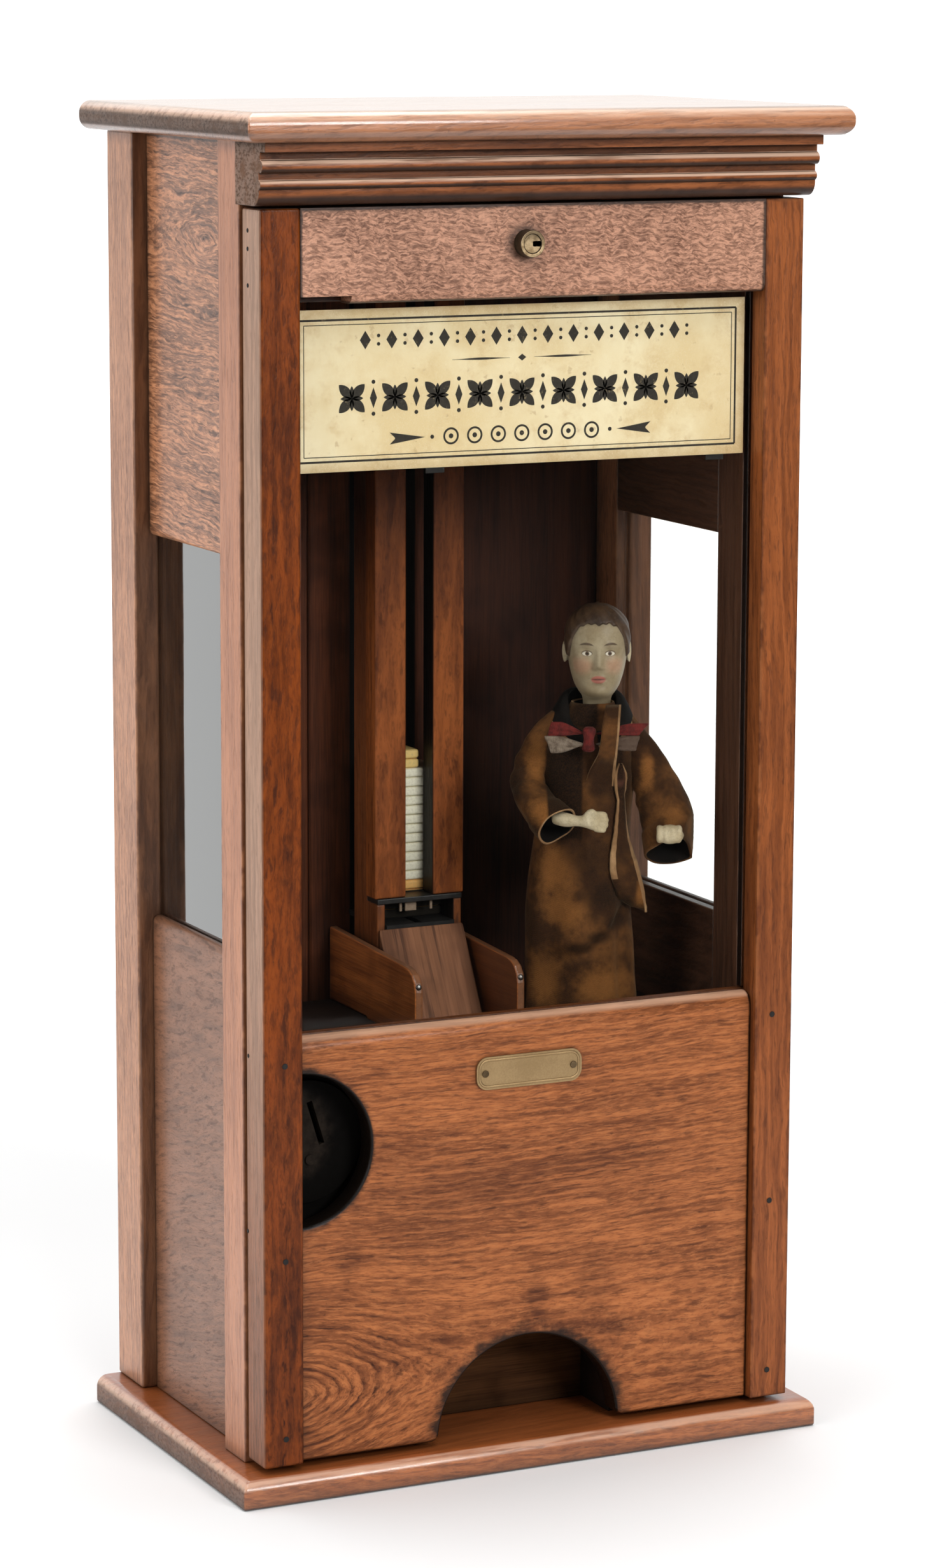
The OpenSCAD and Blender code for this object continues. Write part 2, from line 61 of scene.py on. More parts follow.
# ------------------------------------------------------------------ node trees
class Tree:
    """Short names for shader nodes; every call gives back an output socket."""

    def __init__(self, name):
        self.mat = bpy.data.materials.new(name)
        self.mat.use_nodes = True
        self.t = self.mat.node_tree
        self.t.nodes.clear()
        self.out = self.t.nodes.new("ShaderNodeOutputMaterial")
        self._c = None

    def new(self, kind, **props):
        n = self.t.nodes.new(kind)
        for k, v in props.items():
            setattr(n, k, v)
        return n

    def put(self, socket, value):
        if value is None:
            return
        if hasattr(value, "is_linked"):
            self.t.links.new(value, socket)
        elif hasattr(socket.default_value, "__len__") and not hasattr(value, "__len__"):
            socket.default_value = [value] * len(socket.default_value)
        else:
            v = value
            if hasattr(value, "__len__") and len(socket.default_value) == 4 and len(value) == 3:
                v = (*value, 1.0)
            socket.default_value = v

    def coords(self):
        """Object coordinates in millimetres."""
        if self._c is None:
            self._c = self.vec("SCALE", self.new("ShaderNodeTexCoord").outputs["Object"], scale=1000.0)
        return self._c

    def vec(self, op, a, b=None, scale=None):
        n = self.new("ShaderNodeVectorMath", operation=op)
        self.put(n.inputs[0], a)
        if b is not None:
            self.put(n.inputs[1], b)
        if scale is not None:
            self.put(n.inputs["Scale"], scale)
        return n.outputs["Value"] if op in ("LENGTH", "DISTANCE", "DOT_PRODUCT") else n.outputs["Vector"]

    def math(self, op, a, b=None, c=None, clamp=False):
        n = self.new("ShaderNodeMath", operation=op, use_clamp=clamp)
        for i, v in enumerate((a, b, c)):
            if v is not None:
                self.put(n.inputs[i], v)
        return n.outputs[0]

    def add(self, a, b):
        return self.math("ADD", a, b)

    def mul(self, a, b):
        return self.math("MULTIPLY", a, b)

    def xyz(self, v):
        n = self.new("ShaderNodeSeparateXYZ")
        self.put(n.inputs[0], v)
        return n.outputs[0], n.outputs[1], n.outputs[2]

    def join(self, x, y, z):
        n = self.new("ShaderNodeCombineXYZ")
        for i, v in enumerate((x, y, z)):
            self.put(n.inputs[i], v)
        return n.outputs[0]

    def noise(self, v, scale=1.0, detail=3.0, rough=0.55, warp=0.0):
        n = self.new("ShaderNodeTexNoise", noise_dimensions="3D")
        self.put(n.inputs["Vector"], v)
        n.inputs["Scale"].default_value = scale
        n.inputs["Detail"].default_value = detail
        n.inputs["Roughness"].default_value = rough
        n.inputs["Distortion"].default_value = warp
        return n.outputs["Fac"]

    def streaks(self, p, across, along, detail=2.0, rough=0.5, warp=0.0):
        """Noise drawn out along the third axis."""
        return self.noise(self.vec("MULTIPLY", p, (across, across, along)), 1.0, detail, rough, warp)

    def span(self, v, a, b, lo=0.0, hi=1.0, smooth=True):
        n = self.new("ShaderNodeMapRange", interpolation_type="SMOOTHSTEP" if smooth else "LINEAR", clamp=True)
        self.put(n.inputs["Value"], v)
        n.inputs["From Min"].default_value = a
        n.inputs["From Max"].default_value = b
        n.inputs["To Min"].default_value = lo
        n.inputs["To Max"].default_value = hi
        return n.outputs["Result"]

    def ramp(self, fac, stops):
        n = self.new("ShaderNodeValToRGB")
        e = n.color_ramp.elements
        while len(e) < len(stops):
            e.new(0.5)
        for s, (p, c) in zip(e, stops):
            s.position = p
            s.color = (*c, 1.0) if len(c) == 3 else c
        self.put(n.inputs[0], fac)
        return n.outputs["Color"]

    def mix(self, fac, a, b, kind="MIX"):
        n = self.new("ShaderNodeMix", data_type="RGBA", blend_type=kind)
        self.put(n.inputs[0], fac)
        self.put(n.inputs[6], a)
        self.put(n.inputs[7], b)
        return n.outputs[2]

    def bump(self, height, strength=0.3, dist=0.0003):
        n = self.new("ShaderNodeBump")
        n.inputs["Strength"].default_value = strength
        n.inputs["Distance"].default_value = dist
        self.put(n.inputs["Height"], height)
        return n.outputs["Normal"]

    def occlusion(self, dist):
        n = self.new("ShaderNodeAmbientOcclusion", samples=3)
        n.inputs["Distance"].default_value = dist
        return n.outputs["AO"]

    def facing(self):
        """The three parts of the surface normal in the piece's own axes."""
        return self.xyz(self.new("ShaderNodeTexCoord").outputs["Normal"])

    def oval(self, a, b, ca, cb, ra, rb):
        """Distance from an oval's middle in two of the coordinates: 1 on its rim."""
        da = self.math("DIVIDE", self.math("SUBTRACT", a, ca), ra)
        db = self.math("DIVIDE", self.math("SUBTRACT", b, cb), rb)
        return self.math("SQRT", self.add(self.mul(da, da), self.mul(db, db)))

    def surface(self, color, rough, normal=None, metal=0.0, **more):
        p = self.new("ShaderNodeBsdfPrincipled")
        self.put(p.inputs["Base Color"], color)
        self.put(p.inputs["Roughness"], rough)
        self.put(p.inputs["Metallic"], metal)
        if normal is not None:
            self.put(p.inputs["Normal"], normal)
        for k, v in more.items():
            self.put(p.inputs[k.replace("_", " ")], v)
        self.t.links.new(p.outputs[0], self.out.inputs["Surface"])
        return self.mat

# ------------------------------------------------------------------ materials
def grain_frame(t, axis, shift=(0, 0, 0)):
    x, y, z = t.xyz(t.vec("ADD", t.coords(), shift))
    return {"X": (y, z, x), "Y": (x, z, y), "Z": (x, y, z)}[axis]


def oak(name, axis, pith=(140.0, 260.0), tilt=(0.0, 0.02), ring=3.0, light=(0.45, 0.165, 0.062), dark=(0.17, 0.045, 0.012),
        shift=(0, 0, 0), figure=0.4, pores=1.0, warp=16.0, rough=0.38, spec=0.3, coat=0.12, corner_shade=0.6, wear=None, spots=(), holes=(),
        eye=None, curl=3.0, seams=(), inside="", ends=0.0, tops=None, sides=None, contrast=1.0,
        hollow=((0.120, 0.052, 0.028), (0.050, 0.022, 0.012)), fade=None, relief=0.0, sill=None, above=-1.0, flick=0.0, sooty=1.0):
    """Shellacked oak. Rings lie round a pith line set off from the board, or round an eye on its face;
    vessels are dark dashes along the grain, thickest in the early wood."""
    t = Tree(name)
    c = t.coords()
    x, y, z = t.xyz(c)
    u, v, l = grain_frame(t, axis, shift)
    p = t.join(u, v, l)
    slow = t.streaks(p, 0.018, 0.006)
    fine = t.streaks(p, 0.085, 0.030, 3.0, 0.6)
    shown = None
    if eye:  # rings round a place on the face that run out into straight grain: middle, reach and breadth of the eye
        el, ev, reach, deep = eye[:4]
        k = t.math("DIVIDE", t.math("SUBTRACT", l, el), reach)
        k = t.math("SUBTRACT", 1.0, t.math("EXPONENT", t.mul(t.mul(k, k), -1.0)))
        dv = t.math("SUBTRACT", t.math("SUBTRACT", v, ev), t.mul(l, tilt[1]))
        r = t.math("SQRT", t.add(t.mul(k, deep * deep), t.mul(dv, dv)))
        r = t.add(r, t.mul(t.math("SUBTRACT", slow, 0.5), warp))
        shown = t.span(t.oval(l, v, el, ev, reach * 1.15, deep * 1.15), 0.55, 1.25, eye[4], figure)
    else:
        du = t.math("SUBTRACT", t.math("SUBTRACT", u, pith[0]), t.mul(l, tilt[0]))
        dv = t.math("SUBTRACT", t.math("SUBTRACT", v, pith[1]), t.mul(l, tilt[1]))
        du = t.add(du, t.mul(t.math("SUBTRACT", slow, 0.5), warp))
        r = t.math("SQRT", t.add(t.mul(du, du), t.mul(dv, dv)))
    r = t.add(r, t.mul(t.math("SUBTRACT", fine, 0.5), 5.2 if eye is None else curl))
    ph = t.math("FRACT", t.math("DIVIDE", r, ring))
    early = t.ramp(ph, [(0.0, (0.25,) * 3), (0.08, (1.0,) * 3), (0.26, (0.75,) * 3), (0.48, (0.2,) * 3), (0.8, (0.0,) * 3), (1.0, (0.25,) * 3)])
    ringed = t.mul(early, shown if shown is not None else figure)
    if eye:  # the rings fade in and out along their length
        ringed = t.mul(ringed, t.span(t.streaks(p, 0.13, 0.040, 3.0, 0.6), 0.38, 0.58, 0.35, 1.0))
    q = t.join(r, t.mul(t.add(u, v), 0.35), l)
    band = t.span(t.streaks(q, 0.20, 0.007, 3.0, 0.6), 0.34, 0.68)
    fibre = t.span(t.streaks(q, 0.55, 0.020, 4.0, 0.64), 0.33, 0.69)
    dash = t.span(t.streaks(q, 0.80, 0.085, 3.0, 0.6), 0.53, 0.66)
    hair = t.span(t.streaks(q, 2.4, 0.20, 2.0, 0.55), 0.50, 0.68)
    mott = t.streaks(p, 0.026, 0.012, 4.0, 0.62)
    tone = t.add(t.add(t.mul(ringed, 0.44 if eye is None else 0.62), t.mul(fibre, 0.34 * contrast)), t.mul(t.math("SUBTRACT", band, 0.5), 0.22 * contrast))
    tone = t.math("ADD", tone, t.mul(t.math("SUBTRACT", mott, 0.5), 1.0), clamp=True)
    mid = tuple(a * 0.45 + b * 0.55 for a, b in zip(light, dark))
    col = t.ramp(tone, [(0.0, light), (0.42, mid), (1.0, dark)])
    deep = (dark[0] * 0.33, dark[1] * 0.30, dark[2] * 0.30)
    keep = t.math("MULTIPLY_ADD", ringed, 0.55, 0.55)
    pore = t.math("MAXIMUM", t.mul(dash, 0.9), t.mul(hair, 0.55))
    pore = t.math("MULTIPLY", pore, keep, clamp=True)
    col = t.mix(t.mul(pore, 0.74 * pores), col, deep)
    if flick:  # short flecks, light and dark, that break the grain up
        chip = t.streaks(q, 0.95, 0.14, 3.0, 0.65)
        weight = t.span(ringed, 0.05, 0.45, flick, flick * 0.3) if eye else flick
        col = t.mix(t.mul(t.span(chip, 0.52, 0.64, 0.0, 0.60), weight), col, dark)
        col = t.mix(t.mul(t.span(chip, 0.48, 0.38, 0.0, 0.50), weight), col, (min(1.0, light[0] * 1.3), light[1] * 1.45, light[2] * 1.6))
    jag = t.noise(c, 0.11, 4.0, 0.65)
    # painted shade: the colour darkens in corners and recesses by occlusion; the flecks and dark joints added to the
    # same mask below are real dirt
    shade_and_dirt = t.mul(t.span(t.occlusion(0.007), 0.40, 0.97, 1.0, 0.0), corner_shade)
    flecks = t.span(t.noise(c, 0.42, 3.0, 0.6), 0.68, 0.74, 0.0, 0.35)
    shade_and_dirt = t.math("MAXIMUM", shade_and_dirt, flecks)
    if spots:  # worked-in dirt, held in the open grain
        soak = t.math("MULTIPLY_ADD", t.math("MAXIMUM", fibre, dash), 0.72, 0.30)
        for cx, cz, rx, rz, s in spots:
            d = t.add(t.oval(x, z, cx, cz, rx, rz), t.mul(t.math("SUBTRACT", jag, 0.5), 1.3))
            k = t.mul(t.span(d, 0.25, 1.2, s, 0.0), soak)
            col = t.mix(k, col, (dark[0] * 0.55, dark[1] * 0.5, dark[2] * 0.5))
    for letter, at, wide, s in seams:
        d = t.math("ABSOLUTE", t.math("SUBTRACT", {"x": x, "y": y, "z": z}[letter], at))
        d = t.add(d, t.mul(t.math("SUBTRACT", jag, 0.5), wide * 0.8))
        shade_and_dirt = t.math("MAXIMUM", shade_and_dirt, t.span(d, wide * 0.35, wide, s, 0.0))
    col = t.mix(shade_and_dirt, col, (0.022, 0.009, 0.004))
    # round each hole: a dark sooty lip on the face, and the hole's wall painted near black as shade
    for cx, cz, rr, lip, s in holes:
        wall = t.math("SUBTRACT", t.oval(x, z, cx, cz, 1.0, 1.0), rr)
        d = t.add(wall, t.mul(t.math("SUBTRACT", t.math("MULTIPLY_ADD", fibre, 0.35, jag), 0.65), lip * 1.5))
        k = t.math("MAXIMUM", t.span(d, 0.1, lip, s, 0.0), t.span(wall, 0.9, 1.9, 0.995 if s > 0.9 else 0.8, 0.0))
        col = t.mix(k, col, (0.0045, 0.003, 0.002))
    if wear:
        (x0, y0, z0), (x1, y1, z1), twin = wear
        xx = t.math("ABSOLUTE", x) if twin else x
        a, b, e = [t.math("MINIMUM", t.math("SUBTRACT", w, lo), t.math("SUBTRACT", hi, w)) for w, lo, hi in ((xx, x0, x1), (y, y0, y1), (z, z0, z1))]
        edge = t.math("MAXIMUM", t.math("MINIMUM", a, b), t.math("MINIMUM", t.math("MAXIMUM", a, b), e))
        near = t.span(t.add(edge, t.mul(jag, 3.6)), 1.8, 3.4, 0.6, 0.0)
        col = t.mix(near, col, (dark[0] * 0.35, dark[1] * 0.3, dark[2] * 0.3))
        wear_and_highlight = t.mul(t.span(edge, 0.2, 2.2, 0.45, 0.0), t.span(t.noise(c, 0.05, 3.0, 0.6), 0.48, 0.60))
        col = t.mix(wear_and_highlight, col, (min(1, light[0] * 1.3), light[1] * 1.5, light[2] * 1.7))
    if fade:  # painted shade, darker towards the top between two heights
        col = t.mix(t.span(z, fade[0], fade[1], 0.0, fade[2]), col, (dark[0] * 0.2, dark[1] * 0.2, dark[2] * 0.2))
    gloss = coat
    if inside or ends or tops or sides or relief or sill:
        nx, ny, nz = t.facing()
        if ends:  # sawn ends: greyed, with the open vessels as dark specks
            n = {"X": nx, "Y": ny, "Z": nz}[axis]
            speck = t.span(t.noise(t.vec("MULTIPLY", c, (1.0, 0.55, 0.9)), 0.85, 3.0, 0.65), 0.42, 0.66)
            sawn = t.mix(speck, (0.150 * sooty, 0.108 * sooty, 0.085 * sooty), (0.040 * sooty, 0.026 * sooty, 0.017 * sooty))
            sawn = t.mix(t.span(jag, 0.46, 0.66), sawn, (0.085 * sooty, 0.050 * sooty, 0.031 * sooty))
            cut = t.span(t.math("ABSOLUTE", n), 0.70, 0.92, 0.0, ends)
            col = t.mix(cut, col, sawn)
            gloss = t.mul(t.math("SUBTRACT", 1.0, cut), coat)  # no varnish left on them
        # upward faces: a painted highlight on the top board and on the panel's top edge, a redder top on the base
        if tops:
            col = t.mix(t.mul(t.span(nz, 0.5, 0.9), t.span(z, above, above + 1.0)), col, t.mix(t.math("MULTIPLY", fibre, 0.6), tops, tuple(a * 0.55 for a in tops)))
        if sides:  # painted sheen: faces turned to -X paled, more so higher up
            pale = t.mix(t.math("MAXIMUM", t.mul(fibre, 0.6), pore), sides, tuple(a * 0.45 for a in sides))
            col = t.mix(t.mul(t.span(nx, -0.9, -0.6, 0.85, 0.0), t.span(z, 40.0, 300.0, 0.35, 1.0)), col, pale)
        # painted shade: faces turned in towards the middle take the dark inner colours
        if "x" in inside:
            side = t.mul(nx, t.math("SIGN", x))
            col = t.mix(t.span(side, -0.9, -0.5, 0.97, 0.0), col, t.mix(fibre, *hollow))
        # painted shade on the faces turned to the front
        if "f" in inside:
            col = t.mix(t.span(ny, -0.9, -0.5, 0.9, 0.0), col, t.mix(fibre, (0.20, 0.082, 0.036), (0.070, 0.026, 0.011)))
        if relief:  # painted shade black under the rounds and in the grooves, and a painted highlight on the upward rounds
            col = t.mix(t.span(nz, -0.05, -0.55, 0.0, 0.93 * relief), col, (0.014, 0.006, 0.003))
            deep = t.span(t.occlusion(0.004), 0.35, 0.85, 0.95 * relief, 0.0)
            col = t.mix(deep, col, (0.010, 0.005, 0.003))
            wear_and_highlight = t.mul(t.span(nz, 0.12, 0.52, 0.0, 0.9 * relief), t.span(t.streaks(p, 0.30, 0.025, 3.0, 0.6), 0.34, 0.54, 0.35, 1.0))
            col = t.mix(t.mul(wear_and_highlight, t.span(nz, 0.80, 0.94, 1.0, 0.0)), col, (0.92, 0.62, 0.45))
        # painted highlight: a grey-brown colour on the upward face of the right-hand sill, for the light it catches
        if sill:
            col = t.mix(t.mul(t.span(nz, 0.6, 0.9), t.span(x, -1.0, 1.0)), col, sill)
        # painted shade on the faces turned to the back
        if "y" in inside:
            col = t.mix(t.span(ny, 0.5, 0.9, 0.0, 0.96), col, (0.012, 0.007, 0.004))
    h = t.math("SUBTRACT", t.mul(fibre, 0.3), t.mul(pore, 0.9))
    rgh = t.add(t.mul(pore, 0.2), t.math("MULTIPLY_ADD", t.math("SUBTRACT", mott, 0.5), 0.3, rough))
    if ends:
        rgh = t.math("MAXIMUM", rgh, t.mul(cut, 0.85))
    return t.surface(col, rgh, t.bump(h, 0.3, 0.0004), Coat_Weight=gloss, Coat_Roughness=0.2, Specular_IOR_Level=spec)


def flecked_oak(name, light, dark):
    """Quartered oak: short wavy rays crossing a straight grain."""
    t = Tree(name)
    c = t.coords()
    x, y, z = t.xyz(c)
    wav = t.mul(t.math("SUBTRACT", t.noise(c, 0.045, 3.0, 0.6), 0.5), 20.0)
    lift = t.add(z, t.mul(t.math("SINE", t.mul(t.add(x, wav), 0.55)), 0.55))
    q = t.join(t.mul(t.add(x, wav), 0.36), t.mul(y, 0.6), t.add(lift, t.mul(x, 0.12)))
    ray = t.span(t.noise(q, 0.82, 3.0, 0.60, warp=0.5), 0.40, 0.60)
    fine = t.span(t.noise(t.join(t.mul(x, 0.45), y, t.mul(lift, 1.3)), 1.25, 2.0, 0.55, warp=0.4), 0.40, 0.62)
    fibre = t.span(t.streaks(t.join(y, z, x), 0.5, 0.012, 4.0, 0.6), 0.3, 0.72)
    mott = t.noise(c, 0.020, 4.0, 0.6)
    tone = t.add(t.mul(ray, 0.56), t.mul(fine, 0.34))
    tone = t.math("ADD", t.add(tone, t.mul(fibre, 0.12)), t.mul(t.math("SUBTRACT", mott, 0.5), 1.1), clamp=True)
    col = t.ramp(tone, [(0.0, light), (0.5, tuple(a * 0.46 + b * 0.54 for a, b in zip(light, dark))), (1.0, dark)])
    # painted shade in corners by occlusion; the dark joints are added to it
    shade_and_dirt = t.mul(t.span(t.occlusion(0.007), 0.4, 0.97, 1.0, 0.0), 0.7)
    jag = t.mul(t.math("SUBTRACT", t.noise(c, 0.11, 4.0, 0.65), 0.5), 1.2)
    for letter, at, wide in ((x, -113.0, 1.5), (x, 113.0, 2.2), (z, 568.8, 2.0), (z, 527.7, 1.4)):
        shade_and_dirt = t.math("MAXIMUM", shade_and_dirt, t.span(t.add(t.math("ABSOLUTE", t.math("SUBTRACT", letter, at)), jag), wide * 0.35, wide, 0.92, 0.0))
    # painted shadow of the lock on the rail round it
    d = t.add(t.oval(x, z, -7.0, 551.8, 9.5, 8.0), t.mul(jag, 0.25))
    shade_and_dirt = t.math("MAXIMUM", shade_and_dirt, t.span(d, 0.7, 1.15, 0.7, 0.0))
    col = t.mix(shade_and_dirt, col, (0.024, 0.011, 0.006))
    rgh = t.math("MULTIPLY_ADD", mott, 0.25, 0.36)
    return t.surface(col, rgh, t.bump(t.add(ray, t.mul(fine, 0.5)), 0.2, 0.0003), Coat_Weight=0.1, Coat_Roughness=0.3, Specular_IOR_Level=0.35)


def plain_wood(name, axis, light, dark, rough=0.5, coat=0.1, shift=(0, 0, 0), spec=0.3, streak=1.0, slant=None, inner=None, edge=None, band_x=None, threads=0.38):
    """Close-grained inside wood."""
    t = Tree(name)
    u, v, l = grain_frame(t, axis, shift)
    if slant:  # grain along a board that falls in y and z
        x, y, z = t.xyz(t.coords())
        u, v, l = x, t.add(t.mul(y, slant[1]), t.mul(z, -slant[0])), t.add(t.mul(y, slant[0]), t.mul(z, slant[1]))
    p = t.join(u, v, l)
    band = t.span(t.streaks(p, 0.12, 0.005, 4.0, 0.62, warp=0.3), 0.32, 0.68)
    thread = t.span(t.streaks(p, 1.3, 0.045, 3.0, 0.6), 0.34, 0.70)
    mott = t.noise(p, 0.03, 3.0, 0.6)
    col = t.mix(t.math("ADD", t.mul(band, 0.62 * streak), t.mul(thread, threads), clamp=True), light, dark)
    if streak > 1.0:  # rubbed and stained in long streaks
        run = t.span(t.streaks(p, 0.26, 0.012, 4.0, 0.66), 0.50, 0.62)
        col = t.mix(t.mul(run, 0.62), col, (dark[0] * 0.45, dark[1] * 0.42, dark[2] * 0.4))
        pale = t.span(t.streaks(p, 0.20, 0.014, 3.0, 0.6), 0.54, 0.66)
        col = t.mix(t.mul(pale, 0.45), col, (light[0] * 1.35, light[1] * 1.4, light[2] * 1.5))
    col = t.mix(t.span(mott, 0.45, 0.72, 0.0, 0.5), col, (dark[0] * 0.5, dark[1] * 0.45, dark[2] * 0.4))
    # painted shade in corners and recesses by occlusion
    shade_and_dirt = t.span(t.occlusion(0.012), 0.3, 0.95, 0.65, 0.0)
    col = t.mix(shade_and_dirt, col, (0.010, 0.006, 0.004))
    # painted shade on the faces turned in towards the middle
    if inner:
        nx, ny, nz = t.facing()
        x, y, z = t.xyz(t.coords())
        k = t.span(t.mul(nx, t.math("SIGN", x)), -0.9, -0.5, inner, 0.0)
        col = t.mix(k, col, (dark[0] * 0.35, dark[1] * 0.35, dark[2] * 0.35))
    if edge:  # handled grey-brown on the thin edges
        nx, ny, nz = t.facing()
        col = t.mix(t.span(t.math("ABSOLUTE", nx), 0.4, 0.8, edge, 0.0), col, (0.15, 0.078, 0.043))
    # painted shade on the front-facing board: a black line at band_x each side and darker board to its right
    if band_x:
        nx, ny, nz = t.facing()
        x, y, z = t.xyz(t.coords())
        face = t.span(ny, -0.8, -0.4, 1.0, 0.0)
        col = t.mix(t.mul(t.span(t.math("ABSOLUTE", x), band_x - 0.5, band_x + 0.5, 0.97, 0.0), face), col, (0.003, 0.0024, 0.002))
        col = t.mix(t.mul(t.span(x, 20.0, 34.0, 0.0, 0.62), face), col, (0.008, 0.004, 0.003))
    rgh = t.math("MULTIPLY_ADD", mott, 0.3, rough - 0.12)
    return t.surface(col, rgh, t.bump(thread, 0.2, 0.0003), Coat_Weight=coat, Coat_Roughness=0.3, Specular_IOR_Level=spec)


def metal(name, base, tarnish, rough=0.35, amount=0.5, brush=None, bump=0.12, blotch=0.16):
    t = Tree(name)
    c = t.coords()
    cloud = t.noise(c, blotch, 5.0, 0.62 if blotch > 0.1 else 0.4)
    speck = t.noise(c, 1.4, 4.0, 0.6)
    k = t.span(t.add(t.mul(cloud, 0.7), t.mul(speck, 0.3)), 0.36, 0.66)
    occ = t.span(t.occlusion(0.003), 0.4, 1.0, 1.0, 0.0)
    k = t.math("MAXIMUM", t.mul(k, amount), t.mul(occ, min(1.0, amount + 0.35)))
    col = t.mix(k, base, tarnish)
    h = speck
    if brush:
        h = t.add(t.noise(t.vec("MULTIPLY", c, brush), 1.0, 2.0, 0.5), t.mul(speck, 0.5))
    rgh = t.math("MULTIPLY_ADD", k, 0.28, rough)
    return t.surface(col, rgh, t.bump(h, bump, 0.0002), metal=1.0)


def iron_black(name, gloss=0.45):
    t = Tree(name)
    c = t.coords()
    cloud = t.noise(c, 0.2, 5.0, 0.65)
    chip = t.span(t.noise(c, 0.7, 5.0, 0.7), 0.63, 0.69)
    col = t.mix(t.span(cloud, 0.35, 0.7), (0.006, 0.0052, 0.0045), (0.016, 0.013, 0.011))
    col = t.mix(t.mul(chip, 0.6), col, (0.045, 0.031, 0.022))
    rgh = t.math("MULTIPLY_ADD", cloud, 0.35, gloss)
    return t.surface(col, rgh, t.bump(t.add(cloud, t.mul(chip, -0.6)), 0.2, 0.0002), Specular_IOR_Level=0.3)


def coin_iron(name, cx, cz):
    """Blacked iron, handled brown beside the slot, with painted shade darkening it towards the edge of the hole."""
    t = Tree(name)
    c = t.coords()
    x, y, z = t.xyz(c)
    cloud = t.noise(c, 0.2, 5.0, 0.65)
    chip = t.span(t.noise(c, 0.7, 5.0, 0.7), 0.63, 0.69)
    col = t.mix(t.span(cloud, 0.35, 0.7), (0.020, 0.0145, 0.0105), (0.011, 0.008, 0.006))
    col = t.mix(t.mul(chip, 0.6), col, (0.05, 0.033, 0.022))
    # painted shade: darker towards the rim of the hole
    d = t.add(t.oval(x, z, cx, cz, 1.0, 1.0), t.mul(t.math("SUBTRACT", cloud, 0.5), 6.0))
    col = t.mix(t.span(d, 17.0, 25.0, 0.0, 0.97), col, (0.0022, 0.0018, 0.0015))
    return t.surface(col, t.math("MULTIPLY_ADD", cloud, 0.3, 0.55), t.bump(cloud, 0.2, 0.0002), Specular_IOR_Level=0.05)


def gate_iron(name):
    """Blacked plate with bare rusted fingers below it."""
    t = Tree(name)
    c = t.coords()
    x, y, z = t.xyz(c)
    cloud = t.noise(c, 0.25, 5.0, 0.65)
    col = t.mix(t.span(cloud, 0.35, 0.7), (0.008, 0.007, 0.006), (0.022, 0.019, 0.017))
    rust = t.mix(t.noise(c, 0.9, 4.0, 0.7), (0.50, 0.38, 0.27), (0.16, 0.085, 0.045))
    col = t.mix(t.span(z, 238.2, 238.7, 1.0, 0.0), col, rust)
    return t.surface(col, t.math("MULTIPLY_ADD", cloud, 0.3, 0.22), t.bump(cloud, 0.2, 0.0002), Specular_IOR_Level=0.6)


def lock_face(name):
    """Handled brass: bright on its face, darker over its upper half, with painted shade round its side."""
    t = Tree(name)
    c = t.coords()
    nx, ny, nz = t.facing()
    cloud = t.noise(c, 0.5, 4.0, 0.6)
    col = t.mix(t.span(cloud, 0.38, 0.66), (0.50, 0.36, 0.20), (0.27, 0.18, 0.085))
    x, y, z = t.xyz(c)
    col = t.mix(t.span(t.add(t.math("SUBTRACT", z, 551.8), t.mul(t.math("SUBTRACT", cloud, 0.5), 6.0)), -1.0, 4.0, 0.0, 0.75), col, (0.10, 0.065, 0.03))
    # painted shade on the faces that do not look to the front
    k = t.span(ny, -0.95, -0.55, 0.0, 0.95)
    col = t.mix(k, col, (0.030, 0.020, 0.010))
    occ = t.span(t.occlusion(0.002), 0.3, 0.95, 0.9, 0.0)
    col = t.mix(occ, col, (0.03, 0.02, 0.01))
    return t.surface(col, t.math("MULTIPLY_ADD", cloud, 0.2, 0.34), t.bump(cloud, 0.12, 0.0002), metal=0.55)


def glass(name, tint, shine, left=None):
    """Thin old glass: clear, with the mirror part growing at low angles and a faint film of dust."""
    t = Tree(name)
    c = t.coords()
    nrm = t.bump(t.noise(c, 0.016, 2.0, 0.5), 0.10, 0.0016)
    clear = t.new("ShaderNodeBsdfTransparent")
    clear.inputs["Color"].default_value = (*tint, 1.0)
    gl = t.new("ShaderNodeBsdfGlossy")
    gl.inputs["Color"].default_value = (0.95, 0.96, 0.955, 1.0)
    gl.inputs["Roughness"].default_value = 0.03
    t.put(gl.inputs["Normal"], nrm)
    fr = t.new("ShaderNodeFresnel")
    fr.inputs["IOR"].default_value = 1.46
    k = t.mul(fr.outputs[0], shine)
    if left is not None:
        x, y, z = t.xyz(c)
        k = t.mul(fr.outputs[0], t.span(x, -1.0, 1.0, left, shine))
    dust = t.span(t.noise(c, 0.9, 4.0, 0.7), 0.66, 0.74, 0.0, 0.02)
    k = t.math("ADD", k, dust, clamp=True)
    m = t.new("ShaderNodeMixShader")
    t.put(m.inputs[0], k)
    t.t.links.new(clear.outputs[0], m.inputs[1])
    t.t.links.new(gl.outputs[0], m.inputs[2])
    t.t.links.new(m.outputs[0], t.out.inputs["Surface"])
    return t.mat


